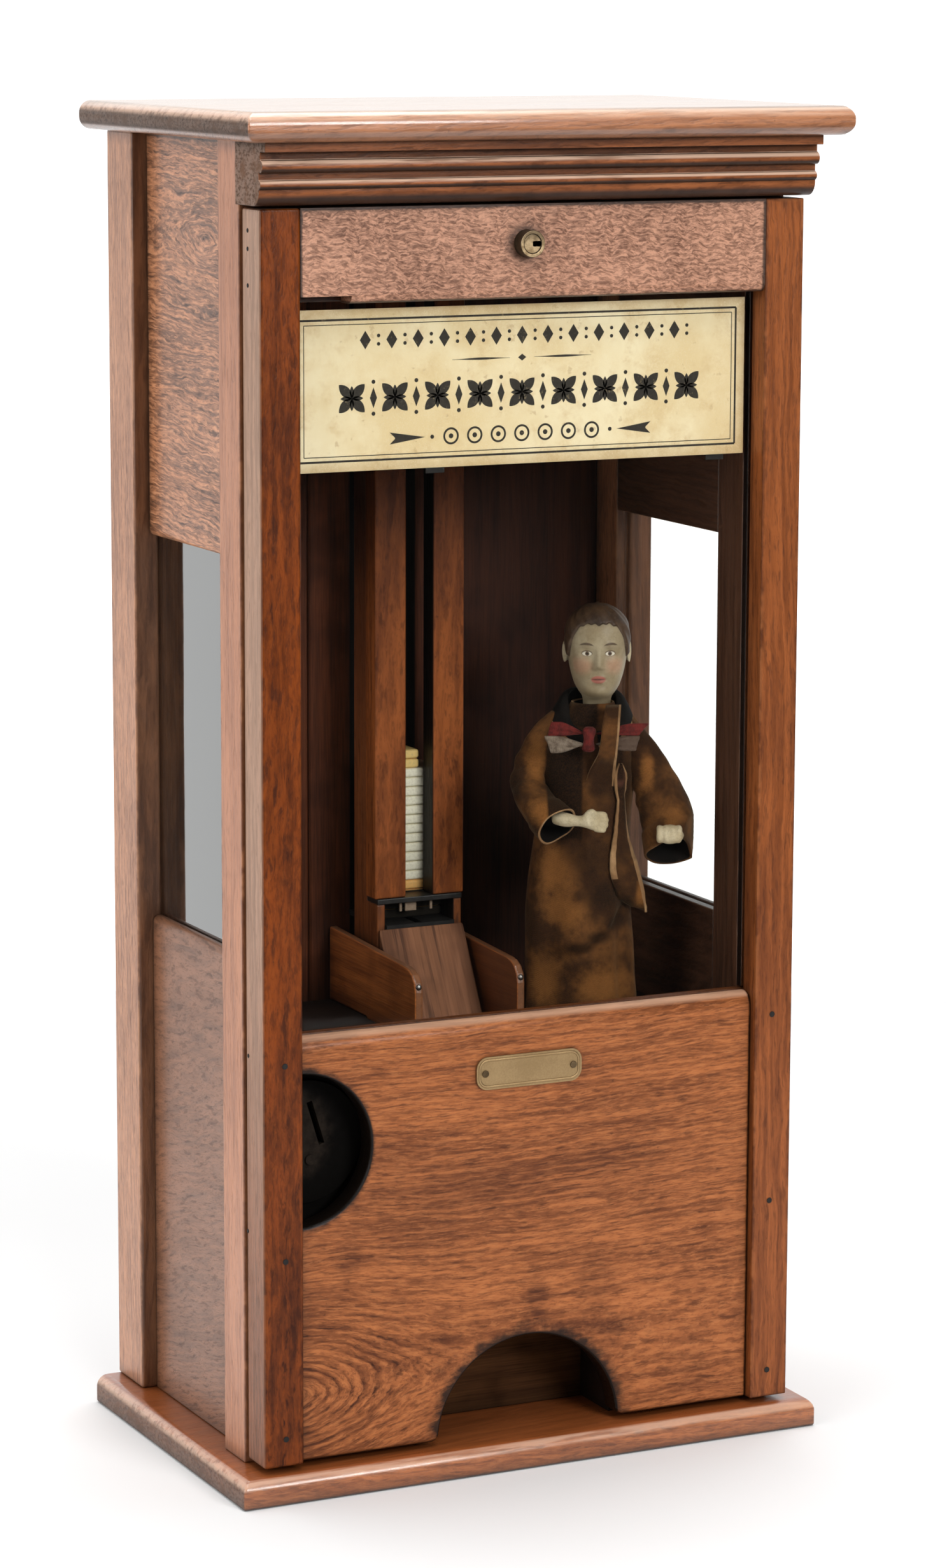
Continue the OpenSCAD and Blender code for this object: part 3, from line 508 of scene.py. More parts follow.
def aged_card(name):
    t = Tree(name)
    c = t.coords()
    big = t.noise(c, 0.020, 5.0, 0.62)
    mid = t.noise(c, 0.09, 5.0, 0.7)
    fib = t.noise(c, 1.8, 3.0, 0.6)
    fox = t.span(t.noise(c, 0.24, 3.0, 0.55), 0.64, 0.74)
    col = t.mix(t.span(big, 0.34, 0.70), (0.93, 0.80, 0.53), (0.80, 0.62, 0.34))
    col = t.mix(t.span(mid, 0.46, 0.74, 0.0, 0.6), col, (0.70, 0.50, 0.25))
    col = t.mix(t.mul(fox, 0.38), col, (0.45, 0.27, 0.115))
    x, y, z = t.xyz(c)
    ex = t.math("MINIMUM", t.math("SUBTRACT", x, -112.0), t.math("SUBTRACT", 110.5, x))
    ez = t.math("MINIMUM", t.math("SUBTRACT", z, 454.5), t.math("SUBTRACT", 524.5, z))
    e = t.add(t.math("MINIMUM", ex, ez), t.mul(mid, -9.0))
    col = t.mix(t.span(e, -5.5, 4.0, 0.6, 0.0), col, (0.47, 0.30, 0.13))
    col = t.mix(t.span(fib, 0.5, 0.8, 0.0, 0.3), col, (0.98, 0.90, 0.72))
    return t.surface(col, 0.78, t.bump(t.add(fib, t.mul(mid, 1.5)), 0.2, 0.0002), Specular_IOR_Level=0.25)


def ink(name):
    t = Tree(name)
    c = t.coords()
    n = t.noise(c, 0.8, 4.0, 0.7)
    gone = t.span(t.noise(c, 0.35, 5.0, 0.75), 0.58, 0.72, 0.0, 0.55)
    col = t.mix(n, (0.020, 0.018, 0.015), (0.055, 0.045, 0.034))
    col = t.mix(gone, col, (0.36, 0.27, 0.15))
    return t.surface(col, 0.7, t.bump(n, 0.15, 0.0001), Specular_IOR_Level=0.2)


def wrapper(name, body, edge, z0, pitch, top=None, low=None, hid=None, end=0.0):
    """Paper-wrapped gum: a pale body, a coloured strip under each tab, and other paper on the first and last ones."""
    t = Tree(name)
    c = t.coords()
    x, y, z = t.xyz(c)
    f = t.math("FRACT", t.math("DIVIDE", t.math("SUBTRACT", z, z0), pitch))
    nx, ny, nz = t.facing()
    line = t.math("MAXIMUM", t.span(f, 0.06, 0.19, 1.0, 0.0), t.span(f, 0.85, 0.95))
    line = t.math("MULTIPLY", line, t.span(t.math("ABSOLUTE", nz), 0.4, 0.8, 1.0, 0.0))
    n = t.noise(c, 0.9, 4.0, 0.6)
    base = body
    if top:
        base = t.mix(t.span(z, top[0] - 0.2, top[0] + 0.2), base, top[1])
    if low:
        base = t.mix(t.span(z, low[0] - 0.2, low[0] + 0.2, 1.0, 0.0), base, low[1])
    col = t.mix(line, base, edge)
    col = t.mix(t.span(n, 0.42, 0.75, 0.0, 0.3), col, (0.42, 0.36, 0.22))
    rough = 0.5
    # painted shade: the front end of the tabs below hid is made near black and matte
    if hid:
        shaded_end = t.math("MULTIPLY", t.span(z, hid - 0.3, hid + 0.3, 1.0, 0.0), t.span(y, end + 1.0, end + 2.0, 1.0, 0.0))
        col = t.mix(shaded_end, col, (0.012, 0.009, 0.006))
        rough = t.span(shaded_end, 0.0, 1.0, 0.5, 1.0)
    return t.surface(col, rough, t.bump(n, 0.25, 0.0003), Specular_IOR_Level=0.2)


def cloth(name, light, dark, weave=2.2, sheen=0.5, soil=0.5, tint=(1.0, 0.72, 0.42), shade_patches=(), highlight_patches=(), panes=(), marks=()):
    """Napped woollen cloth, with crossing threads, random soiling, and patches of painted shade and painted highlight
    on its front.
    """
    t = Tree(name)
    c = t.coords()
    x, y, z = t.xyz(c)
    wx = t.math("SINE", t.mul(t.add(x, y), weave * 3.1))
    wz = t.math("SINE", t.mul(z, weave * 3.1))
    th = t.math("MULTIPLY_ADD", t.mul(wx, wz), 0.5, 0.5)
    nap = t.noise(c, 1.6, 4.0, 0.65)
    big = t.noise(c, 0.05, 4.0, 0.62)
    mid = t.noise(c, 0.22, 4.0, 0.65)
    col = t.mix(t.span(big, 0.33, 0.58), light, dark)
    col = t.mix(t.span(mid, 0.45, 0.75, 0.0, soil), col, (dark[0] * 0.4, dark[1] * 0.38, dark[2] * 0.4))
    front = t.span(y, -9.0, 2.0, 1.0, 0.0)
    jag = t.mul(t.math("SUBTRACT", mid, 0.5), 0.9)
    # patches of painted highlight and of painted shade, on the front only
    for spots, paint in ((highlight_patches, (light[0] * 1.9, light[1] * 1.9, light[2] * 1.75)), (shade_patches, (dark[0] * 0.22, dark[1] * 0.24, dark[2] * 0.28))):
        for cx, cz, rx, rz, s in spots:
            d = t.add(t.oval(x, z, cx, cz, rx, rz), jag)
            col = t.mix(t.mul(t.span(d, 0.3, 1.2, s, 0.0), front), col, paint)
    for cx, cz, rx, rz, s, paint in marks:
        d = t.add(t.oval(x, z, cx, cz, rx, rz), t.mul(jag, 0.5))
        col = t.mix(t.mul(t.span(d, 0.6, 1.1, s, 0.0), front), col, paint)
    # painted shade: dark soft-edged panes on the front
    for x0, x1, z0, z1, soft, s in panes:
        a = t.add(x, t.mul(jag, soft))
        b = t.add(z, t.mul(jag, soft * 2))
        k = t.mul(t.mul(t.span(a, x0 - soft, x0 + soft), t.span(a, x1 - soft, x1 + soft, 1.0, 0.0)), t.mul(t.span(b, z0 - soft * 2, z0 + soft * 2), t.span(b, z1 - soft * 2, z1 + soft * 2, s, 0.0)))
        col = t.mix(t.mul(k, front), col, (dark[0] * 0.12, dark[1] * 0.14, dark[2] * 0.2))
    col = t.mix(t.mul(t.span(nap, 0.35, 0.75), 0.45), col, (light[0] * 0.55, light[1] * 0.55, light[2] * 0.55))
    col = t.mix(t.mul(th, 0.18), col, (dark[0] * 0.3, dark[1] * 0.3, dark[2] * 0.3))
    h = t.add(t.mul(nap, 0.8), t.mul(th, 0.5))
    return t.surface(col, 0.85, t.bump(h, 0.5, 0.0004), Sheen_Weight=sheen, Sheen_Roughness=0.4, Sheen_Tint=tint, Specular_IOR_Level=0.15)


def ribbon(name, light, dark, shaded_side=None):
    t = Tree(name)
    c = t.coords()
    x, y, z = t.xyz(c)
    rib = t.math("MULTIPLY_ADD", t.math("SINE", t.mul(t.add(x, t.mul(y, 0.7)), 8.5)), 0.5, 0.5)
    n = t.noise(c, 0.35, 4.0, 0.65)
    col = t.mix(t.span(n, 0.36, 0.68), light, dark)
    col = t.mix(t.mul(rib, 0.25), col, (dark[0] * 0.5, dark[1] * 0.5, dark[2] * 0.5))
    if shaded_side:  # painted shade on one side of the knot
        col = t.mix(t.span(x, 3.0, 6.0, 0.0, 0.85), col, shaded_side)
    return t.surface(col, 0.6, t.bump(t.add(rib, n), 0.3, 0.0002), Sheen_Weight=0.05, Specular_IOR_Level=0.15)


def painted(name, skin, shade, chip=(0.30, 0.24, 0.16), crack=0.35):
    """Old oil paint over a moulded filler: yellowed, crazed and rubbed."""
    t = Tree(name)
    c = t.coords()
    big = t.noise(c, 0.10, 4.0, 0.6)
    fine = t.noise(c, 0.9, 4.0, 0.65)
    vor = t.new("ShaderNodeTexVoronoi", feature="DISTANCE_TO_EDGE")
    t.put(vor.inputs["Vector"], c)
    vor.inputs["Scale"].default_value = 0.55
    line = t.span(vor.outputs["Distance"], 0.0, 0.035, crack, 0.0)
    col = t.mix(t.span(big, 0.35, 0.68), skin, shade)
    col = t.mix(t.span(fine, 0.5, 0.78, 0.0, 0.45), col, chip)
    # painted shade in hollows by occlusion
    shade_and_dirt = t.span(t.occlusion(0.003), 0.45, 1.0, 0.75, 0.0)
    col = t.mix(shade_and_dirt, col, (0.05, 0.035, 0.02))
    col = t.mix(line, col, (0.10, 0.07, 0.04))
    return t.surface(col, t.math("MULTIPLY_ADD", fine, 0.3, 0.35), t.bump(t.math("SUBTRACT", fine, line), 0.25, 0.0002), Specular_IOR_Level=0.35)


def doll_face(name, skin, shade, cx, cz):
    """The same old paint with a plain doll's features laid on: eyes, brows, lips and a little colour in the cheeks."""
    t = Tree(name)
    c = t.coords()
    x, y, z = t.xyz(t.vec("SUBTRACT", c, (cx, 0.0, cz)))
    big = t.noise(c, 0.10, 4.0, 0.6)
    fine = t.noise(c, 0.9, 4.0, 0.65)
    vor = t.new("ShaderNodeTexVoronoi", feature="DISTANCE_TO_EDGE")
    t.put(vor.inputs["Vector"], c)
    vor.inputs["Scale"].default_value = 0.5
    line = t.span(vor.outputs["Distance"], 0.0, 0.03, 0.3, 0.0)
    col = t.mix(t.span(big, 0.35, 0.68), skin, shade)
    ax = t.math("ABSOLUTE", x)
    front = t.span(y, -8.0, -6.0, 1.0, 0.0)

    def spot(col, a, ca, cb, ra, rb, soft, paint, s=1.0, by=z):
        k = t.mul(t.span(t.oval(a, by, ca, cb, ra, rb), 1.0 - soft, 1.0 + soft, s, 0.0), front)
        return t.mix(k, col, paint)

    col = spot(col, ax, 7.6, -5.4, 4.2, 3.6, 0.6, (0.62, 0.27, 0.17), 0.35)
    col = spot(col, ax, 5.3, 0.5, 2.45, 1.35, 0.12, (0.10, 0.055, 0.03), 0.85)
    col = spot(col, ax, 5.3, 0.3, 2.1, 1.0, 0.10, (0.72, 0.66, 0.53))
    col = spot(col, ax, 5.2, 0.35, 0.95, 0.98, 0.12, (0.10, 0.05, 0.02))
    col = spot(col, ax, 5.2, 0.35, 0.45, 0.45, 0.2, (0.006, 0.005, 0.004))
    arch = t.math("SUBTRACT", z, t.mul(t.mul(t.math("SUBTRACT", ax, 5.6), t.math("SUBTRACT", ax, 5.6)), -0.08))
    col = spot(col, ax, 5.5, 5.0, 3.0, 0.55, 0.25, (0.07, 0.04, 0.022), 0.9, by=arch)
    col = spot(col, x, 0.0, -11.65, 3.3, 1.75, 0.14, (0.40, 0.10, 0.075), 0.85)
    col = spot(col, x, 0.0, -11.65, 3.0, 0.22, 0.3, (0.10, 0.025, 0.02), 0.9)
    col = t.mix(t.span(fine, 0.52, 0.78, 0.0, 0.4), col, (0.30, 0.24, 0.16))
    # painted shade in hollows by occlusion
    shade_and_dirt = t.span(t.occlusion(0.003), 0.45, 1.0, 0.7, 0.0)
    col = t.mix(shade_and_dirt, col, (0.05, 0.035, 0.02))
    col = t.mix(line, col, (0.10, 0.07, 0.04))
    return t.surface(col, t.math("MULTIPLY_ADD", fine, 0.3, 0.32), t.bump(t.math("SUBTRACT", fine, line), 0.2, 0.0002), Specular_IOR_Level=0.35)



# ------------------------------------------------------------------ finish of each CAD node
def bbox_mm(node):
    lo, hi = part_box(node)
    return tuple(a * 1000 for a in lo), tuple(a * 1000 for a in hi)


def half_wear(node):
    lo, hi = bbox_mm(node)
    return ((114.0, lo[1], lo[2]), (hi[0], hi[1], hi[2]), True)


def whole_wear(node):
    lo, hi = bbox_mm(node)
    return (lo, hi, False)


M = {
    "oak_top": oak("oak_top", "X", pith=(40, 930), tilt=(0.03, 0.05), ring=3.4, light=(0.52, 0.215, 0.098), dark=(0.17, 0.050, 0.016), spec=0.5, coat=0.95, rough=0.3, figure=0.3, ends=0.9, tops=(0.50, 0.335, 0.235), relief=0.5, sooty=0.75),
    "oak_base": oak("oak_base", "X", pith=(30, -160), tilt=(0.02, -0.05), ring=3.6, light=(0.46, 0.145, 0.043), dark=(0.12, 0.027, 0.006), spec=0.5, coat=0.7, rough=0.3, ends=0.75, sooty=0.9, corner_shade=0.9, tops=(0.36, 0.098, 0.025), relief=0.5, flick=0.5),
    "oak_crown": oak("oak_crown", "X", pith=(60, 700), tilt=(0.01, 0.03), ring=3.0, light=(0.42, 0.140, 0.050), dark=(0.09, 0.024, 0.007), spec=0.15, coat=0.10, corner_shade=1.0, rough=0.36, ends=0.85, sooty=1.6, relief=1.0),
    "oak_head": oak("oak_head", "X", pith=(60, 800), light=(0.06, 0.028, 0.014), dark=(0.02, 0.009, 0.005)),
    "oak_fpost": oak("oak_fpost", "Z", pith=(70, -320), tilt=(0.0, 0.01), ring=2.4, light=(0.50, 0.188, 0.075), dark=(0.23, 0.070, 0.023), spec=0.5, coat=0.3, pores=0.7, figure=0.25, wear=half_wear("front_posts"), inside="xy"),
    "oak_rpost": oak("oak_rpost", "Z", pith=(-40, 300), tilt=(0.01, 0.02), ring=3.0, flick=0.6, light=(0.52, 0.222, 0.100), dark=(0.170, 0.058, 0.021), spec=0.5, coat=0.3, pores=0.95, figure=0.3, wear=half_wear("rear_posts"), inside="f"),
    "oak_uside": oak("oak_uside", "Y", eye=(-4.0, 552.0, 30.0, 10.5, 1.0), curl=9.0, tilt=(0.0, 0.06), ring=2.5, light=(0.58, 0.240, 0.108), dark=(0.085, 0.029, 0.011), spec=0.5, coat=0.3, warp=20, figure=0.5, pores=1.4, contrast=1.45, flick=1.1,
                     seams=[("y", -33.0, 1.6, 0.9), ("y", 66.0, 2.4, 0.95), ("z", 596.0, 2.0, 0.8)], inside="x"),
    "oak_lside": oak("oak_lside", "Y", pith=(-320, 300), tilt=(0.03, -0.30), ring=2.6, light=(0.28, 0.120, 0.060), dark=(0.085, 0.034, 0.016), spec=0.4, coat=0.2, pores=1.0, figure=0.3,
                     seams=[("y", -33.0, 1.6, 0.9), ("y", 66.0, 2.4, 0.95)], inside="x", sill=(0.055, 0.038, 0.029)),
    "oak_stile_l": oak("oak_stile_l", "Z", pith=(-210, -330), tilt=(0.01, 0.0), ring=2.6, light=(0.215, 0.045, 0.0055), dark=(0.047, 0.0090, 0.0011), figure=0.3, pores=1.2, contrast=1.3, spec=0.14, coat=0.05, wear=whole_wear("door_stile_left"), ends=0.5, flick=0.5, spots=[(-122, 50, 12, 70, 0.75), (-124, 330, 8, 60, 0.4), (-120, 470, 8, 50, 0.4)], sides=(0.52, 0.325, 0.225)),
    "oak_stile_r": oak("oak_stile_r", "Z", pith=(330, -240), tilt=(-0.02, 0.0), ring=2.9, light=(0.33, 0.095, 0.025), dark=(0.10, 0.024, 0.0055), figure=0.3, contrast=1.2, spec=0.18, coat=0.06, shift=(13, 7, 91), wear=whole_wear("door_stile_right"), ends=0.5),
    "oak_rail": flecked_oak("oak_rail", (0.61, 0.31, 0.194), (0.142, 0.056, 0.029)),
    "oak_panel": oak("oak_panel", "X", eye=(-116.0, 50.0, 58.0, 34.0, 1.0), curl=4.2, tilt=(0.0, 0.035), ring=3.0, light=(0.42, 0.135, 0.041), dark=(0.092, 0.022, 0.005), warp=7.0, figure=0.22, pores=1.25, contrast=1.35, spec=0.18, coat=0.06, flick=0.7,
                     spots=[(4, 76, 8, 15, 0.8), (-60, 131, 30, 38, 0.35), (15, 133, 100, 16, 0.45), (34, 80, 12, 24, 0.4), (-90, 104, 8, 8, 0.7), (60, 158, 40, 10, 0.3), (42, 56, 12, 8, 0.7), (22, 60, 16, 5, 0.8), (-42, 56, 9, 20, 0.4), (85, 30, 14, 14, 0.3)],
                     holes=[(-113, 157, 34.5, 3.6, 0.95), (0, 14.5, 45.0, 8.0, 0.93)],
                     seams=[("x", -113.0, 1.4, 0.95), ("x", 113.0, 2.0, 0.97), ("z", 15.5, 1.6, 0.9)], tops=(0.66, 0.37, 0.23), above=190.0),
    "oak_in": oak("oak_in", "Z", pith=(80, 400), ring=3.2, light=(0.27, 0.080, 0.022), dark=(0.09, 0.023, 0.006), coat=0.15, rough=0.42, inside="x", hollow=((0.006, 0.004, 0.003), (0.003, 0.002, 0.0015)), fade=(300.0, 430.0, 0.85)),
    "oak_strip": oak("oak_strip", "Z", pith=(60, 330), ring=4.2, light=(0.36, 0.098, 0.022), dark=(0.09, 0.020, 0.0045), coat=0.05, rough=0.45, spec=0.15, corner_shade=0.9, contrast=1.2, inside="x", hollow=((0.006, 0.004, 0.003), (0.003, 0.002, 0.0015)), fade=(330.0, 450.0, 0.75)),
    "dark_v": plain_wood("dark_v", "Z", (0.125, 0.034, 0.012), (0.030, 0.009, 0.004), 0.5, 0.0, spec=0.12, band_x=17.0),
    "dark_x": plain_wood("dark_x", "X", (0.020, 0.0085, 0.005), (0.008, 0.004, 0.0025), 0.7, 0.0, spec=0.15),
    "bare": plain_wood("bare", "Y", (0.26, 0.104, 0.046), (0.095, 0.032, 0.012), 0.55, 0.1, streak=1.1, slant=(0.481, 0.876), threads=0.12, spec=0.2),
    "bare_x": plain_wood("bare_x", "X", (0.082, 0.034, 0.0125), (0.022, 0.0085, 0.0038), 0.8, 0.0, spec=0.05),
    "red": plain_wood("red", "Y", (0.85, 0.270, 0.072), (0.28, 0.075, 0.022), 0.34, 0.4, inner=0.85, edge=0.75),
    "brass": metal("brass", (0.56, 0.40, 0.19), (0.17, 0.105, 0.045), 0.32, 0.8),
    "brass_dark": metal("brass_dark", (0.16, 0.11, 0.06), (0.05, 0.033, 0.018), 0.4, 0.7),
    "brass_plate": metal("brass_plate", (0.43, 0.295, 0.150), (0.25, 0.165, 0.080), 0.40, 0.6, brush=(0.15, 3.0, 3.0), blotch=0.045),
    "brass_clean": metal("brass_clean", (0.66, 0.46, 0.19), (0.32, 0.2, 0.08), 0.24, 0.5),
    "lock_brass": lock_face("lock_brass"),
    "steel": metal("steel", (0.42, 0.41, 0.39), (0.16, 0.12, 0.09), 0.34, 0.6),
    "tin": metal("tin", (0.16, 0.14, 0.12), (0.06, 0.045, 0.035), 0.45, 0.7),
    "iron": iron_black("iron"),
    "coin": coin_iron("coin", -113.0, 160.0),
    "gate": gate_iron("gate"),
    "glass_door": glass("glass_door", (0.985, 0.99, 0.985), 0.14),
    "glass_side": glass("glass_side", (0.985, 0.99, 0.985), 0.25, left=2.8),
    "card": aged_card("card"),
    "ink": ink("ink"),
    "gum": wrapper("gum", (0.99, 0.93, 0.73), (0.11, 0.115, 0.065), 228.6, 4.45, top=(228.7 + 4.45 * 16 - 0.1, (0.90, 0.62, 0.22)), low=(246.4, (0.85, 0.46, 0.14)), hid=241.6, end=56.5),
    "gum_yellow": wrapper("gum_yellow", (0.90, 0.62, 0.22), (0.11, 0.115, 0.065), 228.6, 4.45, hid=241.6, end=56.5),
    "robe": cloth("robe", (0.155, 0.060, 0.0155), (0.036, 0.0135, 0.0045), sheen=0.12,
                  shade_patches=[(2, 268, 16, 12, 0.8), (6, 250, 12, 9, 0.9), (15, 246, 5, 5, 0.9), (10, 238, 6, 5, 0.9), (3, 231, 7, 4, 0.85), (-6, 226.5, 8, 3.5, 0.75), (14, 300, 6, 22, 0.9), (20, 322, 12, 5, 0.85), (-24, 332, 9, 7, 0.95), (-36, 300, 3, 10, 0.8), (33, 312, 5, 6, 0.5), (6, 300, 9, 10, 0.45)],
                  highlight_patches=[(-26, 313, 6, 15, 1.0), (-22, 291, 10, 7, 1.0), (-18, 262, 10, 13, 0.75), (-14, 243, 12, 8, 0.7), (4, 208, 15, 11, 0.8), (-22, 210, 9, 16, 0.55), (25, 306, 4, 10, 0.9), (36, 288, 6, 6, 0.6), (22, 250, 3, 8, 0.7)],
                  panes=[(-21.5, -5.2, 276.0, 318.0, 0.8, 0.97), (-12.0, 2.0, 327.0, 342.0, 0.8, 0.97), (9.6, 14.0, 303.0, 319.0, 0.8, 0.9)],
                  marks=[(12.4, 305.5, 2.6, 5.5, 0.6, (0.13, 0.046, 0.030))]),
    # near black: painted shade on the inner faces of the gown and sleeves, and the collar's dark cloth
    "robe_in": cloth("robe_in", (0.012, 0.008, 0.006), (0.005, 0.004, 0.003), sheen=0.0),
    "robe_edge": cloth("robe_edge", (0.46, 0.27, 0.13), (0.27, 0.14, 0.06), weave=3.0, sheen=0.2),
    "ribbon_red": ribbon("ribbon_red", (0.155, 0.016, 0.012), (0.066, 0.008, 0.006)),
    "ribbon_white": ribbon("ribbon_white", (0.25, 0.19, 0.14), (0.11, 0.075, 0.05), shaded_side=(0.075, 0.042, 0.027)),
    "face_paint": doll_face("face_paint", (0.38, 0.305, 0.19), (0.27, 0.20, 0.11), 2.0, 361.0),
    "hair_paint": painted("hair_paint", (0.075, 0.038, 0.018), (0.034, 0.017, 0.009), chip=(0.17, 0.11, 0.06)),
    "hand_paint": painted("hand_paint", (0.60, 0.50, 0.33), (0.46, 0.36, 0.21)),
}
FINISH = {
    "base_board": "oak_base", "top_board": "oak_top", "crown_moulding": "oak_crown", "head_rail": "oak_head",
    "front_posts": "oak_fpost", "rear_posts": "oak_rpost", "upper_side_panels": "oak_uside", "lower_side_panels": "oak_lside",
    "side_glasses": "glass_side", "back_boards": "dark_v", "shelf": "dark_x", "slope_board": "bare", "slope_cheeks": "red",
    "cup_back": "bare_x", "cup_sides": "dark_x", "magazine_strips": "oak_strip", "magazine_walls": "oak_in", "magazine_floor": "iron",
    "gate_strap": "gate", "gum_stack": "gum", "coin_plate": "coin", "coin_escutcheon": "coin", "coin_chute": "iron", "coin_stud": "steel",
    "cash_box": "tin", "movement_plates": "brass_clean", "movement_posts": "brass_clean", "ejector_bracket": "iron", "ejector_pin": "steel",
    "hinge_leaves_case": "brass", "hinge_pins": "brass", "door_stile_left": "oak_stile_l", "door_stile_right": "oak_stile_r",
    "door_top_rail": "oak_rail", "door_panel": "oak_panel", "door_glass": "glass_door", "glass_stops": "oak_in", "sign_card": "card",
    "sign_clips": "iron", "name_plate": "brass_plate", "plate_pins": "brass_dark", "lock_barrel": "lock_brass", "hinge_leaves_door": "brass",
    "door_nails": "iron", "lock_plug": "lock_brass", "lock_tongue": "steel", "coin_lever": "steel", "ejector_arm": "steel",
    "bottom_gum": "gum_yellow", "doll_spindle": "steel", "spindle_pinion": "brass_clean", "doll_turntable": "dark_x",
    "doll_robe": "robe", "doll_head": "hand_paint", "doll_hands": "hand_paint", "doll_bow": "ribbon_red",
    "great_wheel": "brass_clean", "spring_drum": "brass_clean", "winding_arbor": "steel",
}
BEVEL = {  # edge rounding in millimetres
    "front_posts": 1.2, "rear_posts": 3.2, "door_stile_left": 1.3, "door_stile_right": 1.3, "door_top_rail": 1.0, "door_panel": 1.6,
    "upper_side_panels": 0.8, "lower_side_panels": 0.8, "crown_moulding": 0.5, "top_board": 0.9, "base_board": 1.1, "head_rail": 0.8,
    "slope_board": 0.8, "slope_cheeks": 1.0, "cup_back": 0.6, "cup_sides": 0.6, "magazine_strips": 0.9, "magazine_walls": 0.8,
    "shelf": 0.8, "gum_stack": 1.2, "bottom_gum": 1.2, "name_plate": 0.35, "coin_escutcheon": 0.4, "gate_strap": 0.3,
    "glass_stops": 0.6, "cash_box": 0.4, "lock_barrel": 0.6, "lock_plug": 0.4, "plate_pins": 0.35, "door_nails": 0.12,
}
for name, key in FINISH.items():
    o = NODES[name]
    o.data.materials.clear()
    o.data.materials.append(M[key])
    if name in BEVEL:
        w = o.modifiers.new("weld", "WELD")
        w.merge_threshold = 1e-6
        d = o.modifiers.new("planes", "DECIMATE")
        d.decimate_type = "DISSOLVE"
        d.angle_limit = math.radians(0.5)
        b = o.modifiers.new("edges", "BEVEL")
        b.width = BEVEL[name] * MM
        b.segments = 3
        b.limit_method = "ANGLE"
        b.angle_limit = math.radians(40)
        b.use_clamp_overlap = True
        b.miter_outer = "MITER_ARC"



# ------------------------------------------------------------------ mesh helpers
def make(name, verts, faces, mats, body, matrix=None, smooth=True, slots=None):
    """A piece from points in millimetres. Its own axes are those of matrix, or the frame's."""
    me = bpy.data.meshes.new(name)
    me.from_pydata([Vector(v) * MM for v in verts], [], faces)
    bm = bmesh.new()
    bm.from_mesh(me)
    bmesh.ops.recalc_face_normals(bm, faces=bm.faces)
    bm.to_mesh(me)
    bm.free()
    for m in mats:
        me.materials.append(M[m])
    for i, f in enumerate(me.polygons):
        f.use_smooth = smooth
        if slots:
            f.material_index = slots[i]
    o = bpy.data.objects.new(name, me)
    scene.collection.objects.link(o)
    if matrix is not None:
        o.matrix_world = matrix
    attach(o, body)
    return o


def solidify(o, t, offset=0.0, inner=None, rim=None):
    m = o.modifiers.new("thick", "SOLIDIFY")
    m.thickness = t * MM
    m.offset = offset
    m.use_even_offset = True
    if inner is not None:
        m.material_offset = inner
    if rim is not None:
        m.material_offset_rim = rim
    return o


def subdivide(o, n=1):
    m = o.modifiers.new("smooth", "SUBSURF")
    m.levels = m.render_levels = n
    return o


def bake_mesh(o):
    """Applies the piece's modifiers to its mesh."""
    dg = bpy.context.evaluated_depsgraph_get()
    dg.update()
    me = bpy.data.meshes.new_from_object(o.evaluated_get(dg))
    o.modifiers.clear()
    o.data = me
    for f in me.polygons:
        f.use_smooth = True
    return o


def grid_faces(n, m, wrap=True):
    """Quads of n rows by m columns."""
    out = []
    for i in range(n - 1):
        for j in range(m if wrap else m - 1):
            k = (j + 1) % m
            out.append((i * m + j, i * m + k, (i + 1) * m + k, (i + 1) * m + j))
    return out


def plate(outline, y0, y1):
    """A flat shape in X and Z between two depths, as points and faces."""
    n = len(outline)
    v = [(x, y0, z) for x, z in outline] + [(x, y1, z) for x, z in outline]
    f = [tuple(range(n)), tuple(range(2 * n - 1, n - 1, -1))]
    f += [(i, i + n, (i + 1) % n + n, (i + 1) % n) for i in range(n)]
    return v, f


def merge(shapes):
    v, f = [], []
    for a, b in shapes:
        k = len(v)
        v += a
        f += [tuple(i + k for i in q) for q in b]
    return v, f


def smoothstep(a, b, x):
    k = max(0.0, min(1.0, (x - a) / (b - a)))
    return k * k * (3 - 2 * k)


def lerp(points, x):
    """A curve through (x, value) pairs with an even slope at each, so that it has no corner."""
    if x <= points[0][0]:
        return points[0][1]
    if x >= points[-1][0]:
        return points[-1][1]
    for i in range(len(points) - 1):
        (x0, a), (x1, b) = points[i], points[i + 1]
        if x <= x1:
            h = x1 - x0
            ma = (b - points[i - 1][1]) / (x1 - points[i - 1][0]) if i > 0 else (b - a) / h
            mb = (points[i + 2][1] - a) / (points[i + 2][0] - x0) if i + 2 < len(points) else (b - a) / h
            t = (x - x0) / h
            return (2 * t ** 3 - 3 * t ** 2 + 1) * a + (t ** 3 - 2 * t ** 2 + t) * h * ma + (3 * t ** 2 - 2 * t ** 3) * b + (t ** 3 - t ** 2) * h * mb


# ------------------------------------------------------------------ printed card
INK = (-61.5 - 0.06, -61.5 + 0.02)


def bar(x0, x1, z, t):
    return plate([(x0, z - t / 2), (x1, z - t / 2), (x1, z + t / 2), (x0, z + t / 2)], *INK)


def swelled(x0, x1, z, t):
    """A printer's swelled rule: thick in the middle, fine at both ends."""
    n = 24
    top = [(x0 + (x1 - x0) * i / n, z + t / 2 * (0.12 + 0.88 * math.sin(math.pi * i / n) ** 2)) for i in range(n + 1)]
    return plate(top[::-1] + [(x, 2 * z - h) for x, h in top], *INK)


def diamond(x, z, w, h):
    return plate([(x - w / 2, z), (x, z - h / 2), (x + w / 2, z), (x, z + h / 2)], *INK)


